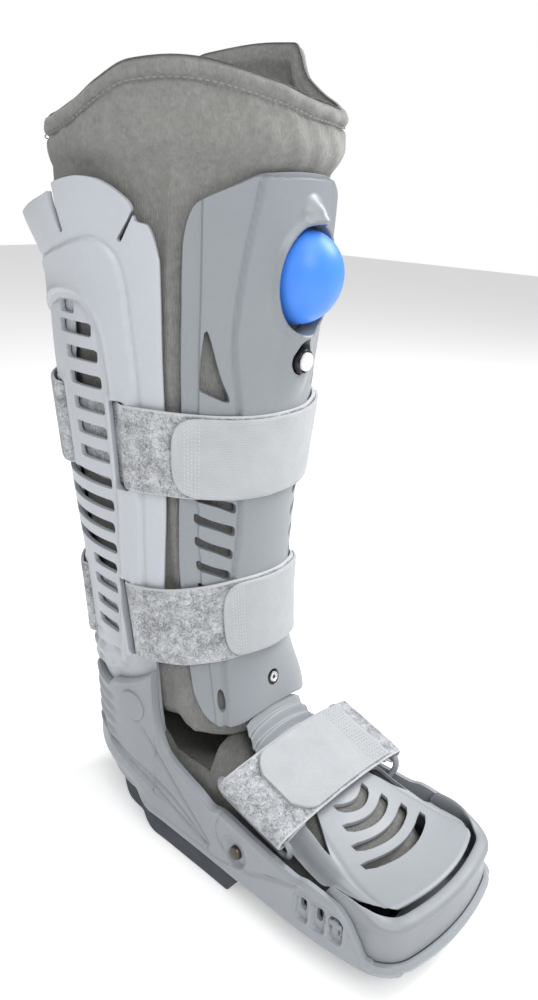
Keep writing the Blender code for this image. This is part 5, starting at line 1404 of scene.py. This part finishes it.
def stitchTree():
    tree = bpy.data.node_groups.new("stitchRow", "GeometryNodeTree")
    face = tree.interface
    face.new_socket("Geometry", in_out="INPUT", socket_type="NodeSocketGeometry")
    for name, kind, value in (("Spacing", "NodeSocketFloat", 0.003), ("Length", "NodeSocketFloat", 0.002),
                              ("Thickness", "NodeSocketFloat", 0.0004),
                              ("Unevenness", "NodeSocketFloat", 0.15), ("Slant", "NodeSocketFloat", 0.0)):
        face.new_socket(name, in_out="INPUT", socket_type=kind).default_value = value
    face.new_socket("Finish", in_out="INPUT", socket_type="NodeSocketMaterial")
    face.new_socket("Geometry", in_out="OUTPUT", socket_type="NodeSocketGeometry")
    nodes, links = tree.nodes, tree.links
    inn, out = nodes.new("NodeGroupInput"), nodes.new("NodeGroupOutput")
    points = nodes.new("GeometryNodeCurveToPoints")
    points.mode = "LENGTH"
    links.new(inn.outputs["Geometry"], points.inputs["Curve"])
    links.new(inn.outputs["Spacing"], points.inputs["Length"])
    thread = nodes.new("GeometryNodeMeshUVSphere")
    thread.inputs["Segments"].default_value = 6
    thread.inputs["Rings"].default_value = 5
    thread.inputs["Radius"].default_value = 0.5
    stretch = nodes.new("ShaderNodeCombineXYZ")
    for axis, source in (("X", "Thickness"), ("Y", "Thickness"), ("Z", "Length")):
        links.new(inn.outputs[source], stretch.inputs[axis])
    shaped = nodes.new("GeometryNodeTransform")
    links.new(thread.outputs["Mesh"], shaped.inputs["Geometry"])
    links.new(stretch.outputs[0], shaped.inputs["Scale"])
    rotate = nodes.new("ShaderNodeCombineXYZ")
    links.new(inn.outputs["Slant"], rotate.inputs["X"])
    links.new(rotate.outputs[0], shaped.inputs["Rotation"])
    uneven = nodes.new("FunctionNodeRandomValue")
    uneven.data_type = "FLOAT"
    uneven.inputs["Seed"].default_value = 7
    low, high = nodes.new("ShaderNodeMath"), nodes.new("ShaderNodeMath")
    low.operation, high.operation = "SUBTRACT", "ADD"
    for node in (low, high):
        node.inputs[0].default_value = 1.0
        links.new(inn.outputs["Unevenness"], node.inputs[1])
    floats = [x for x in uneven.inputs if x.type == "VALUE" and x.name in ("Min", "Max")]
    links.new(low.outputs[0], floats[0])
    links.new(high.outputs[0], floats[1])
    place = nodes.new("GeometryNodeInstanceOnPoints")
    links.new(points.outputs["Points"], place.inputs["Points"])
    links.new(points.outputs["Rotation"], place.inputs["Rotation"])
    links.new(shaped.outputs["Geometry"], place.inputs["Instance"])
    links.new([o for o in uneven.outputs if o.type == "VALUE"][0], place.inputs["Scale"])
    real = nodes.new("GeometryNodeRealizeInstances")
    links.new(place.outputs["Instances"], real.inputs["Geometry"])
    coat = nodes.new("GeometryNodeSetMaterial")
    links.new(real.outputs["Geometry"], coat.inputs["Geometry"])
    links.new(inn.outputs["Finish"], coat.inputs["Material"])
    links.new(coat.outputs["Geometry"], out.inputs["Geometry"])
    return tree


stitches = stitchTree()


def stitchPiece(name, paths, finish, spacing, length, thickness, slant=0.0):
    data = bpy.data.curves.new(name + "Path", "CURVE")
    data.dimensions = "3D"
    for path in paths:
        path = np.asarray(path) + shift
        line = data.splines.new("POLY")
        line.points.add(len(path) - 1)
        line.points.foreach_set("co", np.concatenate([path, np.ones((len(path), 1))], 1).ravel())
    guide = bpy.data.objects.new(name + "Path", data)
    bpy.context.scene.collection.objects.link(guide)
    change = guide.modifiers.new("stitches", "NODES")
    change.node_group = stitches
    values = {"Spacing": spacing, "Length": length, "Thickness": thickness, "Unevenness": 0.12,
              "Slant": slant, "Finish": finish}
    for item in stitches.interface.items_tree:
        if item.in_out == "INPUT" and item.name in values:
            change[item.identifier] = values[item.name]
    bpy.context.view_layer.update()
    graph = bpy.context.evaluated_depsgraph_get()
    mesh = bpy.data.meshes.new_from_object(guide.evaluated_get(graph))
    piece = bpy.data.objects.new(name, mesh)
    bpy.context.scene.collection.objects.link(piece)
    bpy.data.objects.remove(guide)
    mesh.materials.clear()
    mesh.materials.append(finish)
    mesh.shade_smooth()
    return piece


def loopPile(name, colour):
    f = Finish(name, colour, 0.92, Specular_IOR_Level=0.15, Sheen_Weight=0.2, Sheen_Roughness=0.5)
    loops = f.cells(900.0, f.where(scale=(1, 1, 0.7)))
    worms = f.noise(520.0, 3.0, 0.6, distortion=1.4)
    clumps = f.noise(120.0, 3.0, 0.55, distortion=0.5)
    tone = f.sum(f.sum(worms, 0.6, "MULTIPLY"), f.sum(clumps, 0.4, "MULTIPLY"))
    body = f.mix(f.remap(tone, 0.38, 0.64), shade(colour, 0.50), shade(colour, 1.55))
    across = f.axis("UV", 1)
    size = f.node("ShaderNodeMath", {0: across}, operation="ABSOLUTE").outputs[0]
    f.colour(f.mix(f.remap(size, 0.0228, 0.0236), body, (0.50, 0.51, 0.53)))
    f.relief(clumps, 0.0008, 0.35)
    f.relief(worms, 0.0008, 0.6)
    f.relief(loops, 0.0004, 0.4)
    return f.finish()


def twill(name, colour):
    f = Finish(name, colour, 0.80, Specular_IOR_Level=0.25, Sheen_Weight=0.12, Sheen_Roughness=0.5)
    ribs = f.waves(330.0, f.where("UV", turn=(0, 0, 0.62)), 0.8, "X", 2.0, 3.0)
    cross = f.waves(330.0, f.place.outputs["UV"], 0.6, "Y", 2.0, 3.0)
    weave = f.sum(f.sum(ribs, 0.6, "MULTIPLY"), f.sum(cross, 0.4, "MULTIPLY"))
    blotch = f.noise(60.0, 3.0)
    tone = f.sum(f.sum(weave, 0.5, "MULTIPLY"), f.sum(blotch, 0.5, "MULTIPLY"))
    f.colour(f.mix(f.remap(tone, 0.3, 0.7), shade(colour, 0.86), shade(colour, 1.12)))
    f.relief(weave, 0.00035, 0.5)
    f.relief(f.noise(800.0, 2.0), 0.0003, 0.25)
    return f.finish()


def metal(name, colour, roughness):
    f = Finish(name, colour, roughness, Metallic=1.0)
    brushed = f.noise(300.0, 3.0, 0.6)
    f.rough(f.remap(brushed, 0.3, 0.7, roughness - 0.07, roughness + 0.10))
    f.colour(f.mix(brushed, shade(colour, 0.82), shade(colour, 1.15)))
    f.relief(brushed, 0.0001, 0.2)
    return f.finish(0.0002)


def rubberBlock(name, colour):
    f = Finish(name, colour, 0.78, Specular_IOR_Level=0.3)
    dust = f.noise(40.0, 5.0)
    f.colour(f.mix(f.remap(dust, 0.35, 0.7), shade(colour, 0.85), shade(colour, 1.25)))
    treads = f.waves(22.0, f.where(), 0.0, "Y", 0.0, 1.0)
    down = f.node("ShaderNodeSeparateXYZ",
                  {0: f.node("ShaderNodeNewGeometry").outputs["Normal"]}).outputs[2]
    under = f.remap(down, -0.6, -0.9)
    f.relief(f.sum(f.remap(treads, 0.30, 0.45), under, "MULTIPLY"), 0.0025, 1.0)
    f.relief(f.noise(600.0, 2.0), 0.0002, 0.3)
    return f.finish(0.0005)


def blackFoam(name):
    f = Finish(name, (0.014, 0.014, 0.015), 0.9, Specular_IOR_Level=0.2)
    f.relief(f.cells(700.0), 0.0004, 0.6)
    f.colour(f.mix(f.noise(200.0), (0.009, 0.009, 0.010), (0.022, 0.022, 0.023)))
    return f.finish()


# Finishes of the pieces.

shellFinish = mouldedPlastic("shellPlastic", (0.450, 0.475, 0.510), 0.40)
baseFinish = mouldedPlastic("basePlastic", (0.290, 0.310, 0.335), 0.44)
shinFinish = mouldedPlastic("shinPlastic", (0.245, 0.265, 0.285), 0.38)
coverFinish = mouldedPlastic("coverPlastic", (0.300, 0.320, 0.342), 0.42)
guardFinish = mouldedPlastic("guardPlastic", (0.255, 0.272, 0.292), 0.44)
ringFinish = mouldedPlastic("ringPlastic", (0.265, 0.283, 0.302), 0.42)
bulbFinish = mouldedPlastic("bulbRubber", (0.060, 0.245, 0.830), 0.42, blotch=0.03)
blackFinish = mouldedPlastic("valveBlack", (0.008, 0.008, 0.009), 0.24, blotch=0.2)
whiteFinish = mouldedPlastic("valveWhite", (0.82, 0.83, 0.84), 0.32, blotch=0.02)
linerFinish = fleece("linerFleece", (0.205, 0.205, 0.197), ribs=230.0)
ribFinish = fleece("bootieKnit", (0.165, 0.165, 0.158), ribs=150.0)
strapFinish = loopPile("strapPile", (0.360, 0.372, 0.390))
tabFinish = twill("tabTwill", (0.430, 0.445, 0.462))
threadFinish = twill("paleThread", (0.66, 0.67, 0.69))
greyThread = twill("greyThread", (0.30, 0.30, 0.29))
steelFinish = metal("brightSteel", (0.55, 0.55, 0.56), 0.28)
bronzeFinish = metal("darkBronze", (0.100, 0.088, 0.070), 0.38)
soleFinish = rubberBlock("soleRubber", (0.058, 0.066, 0.077))
foamFinish = blackFoam("footbedFoam")


def keep(piece, slot, node=None, body="boot"):
    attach(piece, body)
    if node:
        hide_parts(node)
    return piece


keep(calfShell(shellSettings, shellFinish), "calf_shell", "calf_shell")
for row in spineSettings["panels"]:
    keep(spinePanel(spineSettings, shellFinish, *row), "calf_shell")
print("rear shell made")
keep(shinPlate(shinSettings, shinFinish), "shin_plate", "shin_plate")
keep(bulbPiece(bulbFinish), "bulb", "bulb")
cup, knob = valvePieces(blackFinish, whiteFinish)
keep(cup, "valve_body", "valve_body")
keep(knob, "valve_button", "valve_button", "button")
print("shin plate, bulb and valve made")
keep(footPlate(plateSettings, coverFinish), "dorsal_plate", "dorsal_plate")
keep(footBase(baseSettings, baseFinish), "foot_base", "foot_base")
keep(toeGuard(guardFinish), "toe_guard", "toe_guard", "guard")
keep(soleBlock(soleFinish), "outsole", "outsole")
print("foot made")
keep(legStrap("calfBand", calfStrap, strapFinish), "strap", "calf_strap")
keep(legStrap("ankleBand", ankleStrap, strapFinish, 2.0), "strap", "ankle_strap")
keep(hookTab("calfTab", calfStrap, tabFinish), "strap_tab", "calf_strap_tab")
keep(hookTab("ankleTab", ankleStrap, tabFinish), "strap_tab", "ankle_strap_tab")
keep(footStrapPiece(strapFinish), "strap", "foot_strap")
keep(footTabPiece(tabFinish), "strap_tab", "foot_strap_tab")
keep(strapRing(-1, "ringLeft", ringFinish), "strap_loop", "strap_loop_left")
keep(strapRing(1, "ringRight", ringFinish), "strap_loop", "strap_loop_right")
print("straps made")
sleeve = keep(linerSleeve(linerSettings, linerFinish), "liner", "liner_leg")
bootie = keep(linerBootie(ribFinish), "liner", "liner_foot")
print("liner made")
for side, word in ((-1, "Left"), (1, "Right")):
    reach, tall = baseSettings["rivet"]
    width = float(footWidth(np.float64(reach)))
    lean = float(footWidth(np.float64(reach + 0.01)) - footWidth(np.float64(reach))) / 0.01
    axis = np.array([side, lean, 0.0]) / math.hypot(1.0, lean)
    place = np.array([side * width, -reach, tall]) - axis * 0.0012
    rivet = roundHead("railRivet" + word, place, axis, bronzeFinish, 0.0042, 0.0034)
    keep(rivet, "rivet", "rail_rivet_" + word.lower())
    axis, place = legNormal(side * 90.0, discHeight), legPoint(side * 90.0, discHeight, 0.0002)
    disc = roundHead("ankleCap" + word, place, axis, baseFinish, 0.0100, 0.0020, 1.0)
    keep(disc, "ankle_disc", "ankle_disc_" + word.lower())
axis, place = legNormal(0.0, screwHeight), legPoint(0.0, screwHeight, 0.0004)
cap, inner = capScrew("shinScrew", place, axis, blackFinish, steelFinish, 0.0060, 0.0024)
keep(cap, "rivet", "shin_rivet")
keep(inner, "rivet")
for name, finish in (("toe_latch_left", guardFinish), ("toe_latch_right", guardFinish),
                     ("footbed", foamFinish)):
    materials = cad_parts[name].data.materials
    materials.clear()
    materials.append(finish)

# Stitch rows: the collar's hem, the tab ends and the foot strap's sewn band.
a = np.linspace(-180.0, 180.0, 500)
rim = curve(linerSettings["rim"], a)
reference = np.full(a.shape, linerSettings["level"])
hem = legPoint(a, rim - linerSettings["hem"], linerOffset(a, reference) + 0.0006)
keep(stitchPiece("collarStitches", [hem], greyThread, 0.0034, 0.0024, 0.0007), "liner")
rows = []
for s in (calfStrap, ankleStrap):
    offset = tabSettings["seat"] + 0.00165
    for column in range(5):
        angle = s["tab"][0] + 5.2 + 1.45 * column
        half = float(tabHalf(angle - s["tab"][0])) - 0.0028
        v = np.linspace(-half, half, 40)
        rows.append(legPoint(np.full(40, angle), strapMiddle(s, angle) + v, offset))
keep(stitchPiece("tabStitches", rows, threadFinish, 0.0021, 0.0011, 0.0005), "strap_tab")
rows = []
for column in range(6):
    x = 0.0255 + 0.0027 * column
    along = np.linspace(-0.0205, 0.0205, 40)
    rows.append(strapFrame(x, strapArch(x) + tabSettings["footSeat"] + 0.0017, along))
keep(stitchPiece("footTabStitches", rows, threadFinish, 0.0021, 0.0017, 0.0006, 0.7), "strap_tab")
print("stitches made")

# Studio.

# each light: name, place, size, power
studio = {
    "world": 0.34,
    "backdrop": 1.0,
    "floorGlow": 0.35,
    "lights": (("key", (-0.9, -1.3, 1.6), 1.0, 21.0), ("fill", (-1.6, 0.4, 0.9), 1.0, 2.5),
               ("rim", (1.1, -0.4, 1.3), 0.8, 22.0), ("top", (-0.1, -0.6, 2.0), 1.2, 12.0)),
}
bpy.context.scene.view_settings.view_transform = "Standard"
world = bpy.data.worlds.new("studio")
bpy.context.scene.world = world
world.use_nodes = True
sky = world.node_tree
light = sky.nodes["Background"]
seen = sky.nodes.new("ShaderNodeBackground")
for node, strength in ((light, studio["world"]), (seen, studio["backdrop"])):
    node.inputs["Color"].default_value = (1.0, 1.0, 1.0, 1.0)
    node.inputs["Strength"].default_value = strength
ray = sky.nodes.new("ShaderNodeLightPath")
either = sky.nodes.new("ShaderNodeMixShader")
sky.links.new(ray.outputs["Is Camera Ray"], either.inputs[0])
sky.links.new(light.outputs[0], either.inputs[1])
sky.links.new(seen.outputs[0], either.inputs[2])
sky.links.new(either.outputs[0], sky.nodes["World Output"].inputs["Surface"])


def areaLight(name, place, size, power):
    data = bpy.data.lights.new(name, "AREA")
    data.shape = "DISK"
    data.size = size
    data.energy = power
    thing = bpy.data.objects.new(name, data)
    bpy.context.scene.collection.objects.link(thing)
    thing.location = place
    thing.rotation_euler = (Vector((0.0, 0.0, 0.2)) - Vector(place)).to_track_quat("-Z", "Y").to_euler()


for row in studio["lights"]:
    areaLight(*row)
floorMesh = bpy.data.meshes.new("floor")
floorMesh.from_pydata([(-4, -4, 0), (4, -4, 0), (4, 4, 0), (-4, 4, 0)], [], [(0, 1, 2, 3)])
floor = bpy.data.objects.new("floor", floorMesh)
bpy.context.scene.collection.objects.link(floor)
pale = Finish("floorPaint", (0.93, 0.93, 0.93), 0.7)
pale.rough(pale.remap(pale.noise(6.0), 0.3, 0.7, 0.65, 0.8))
pale.shader.inputs["Emission Color"].default_value = (1.0, 1.0, 1.0, 1.0)
pale.shader.inputs["Emission Strength"].default_value = studio["floorGlow"]
floorMesh.materials.append(pale.finish())
print("studio made")

bpy.context.view_layer.update()
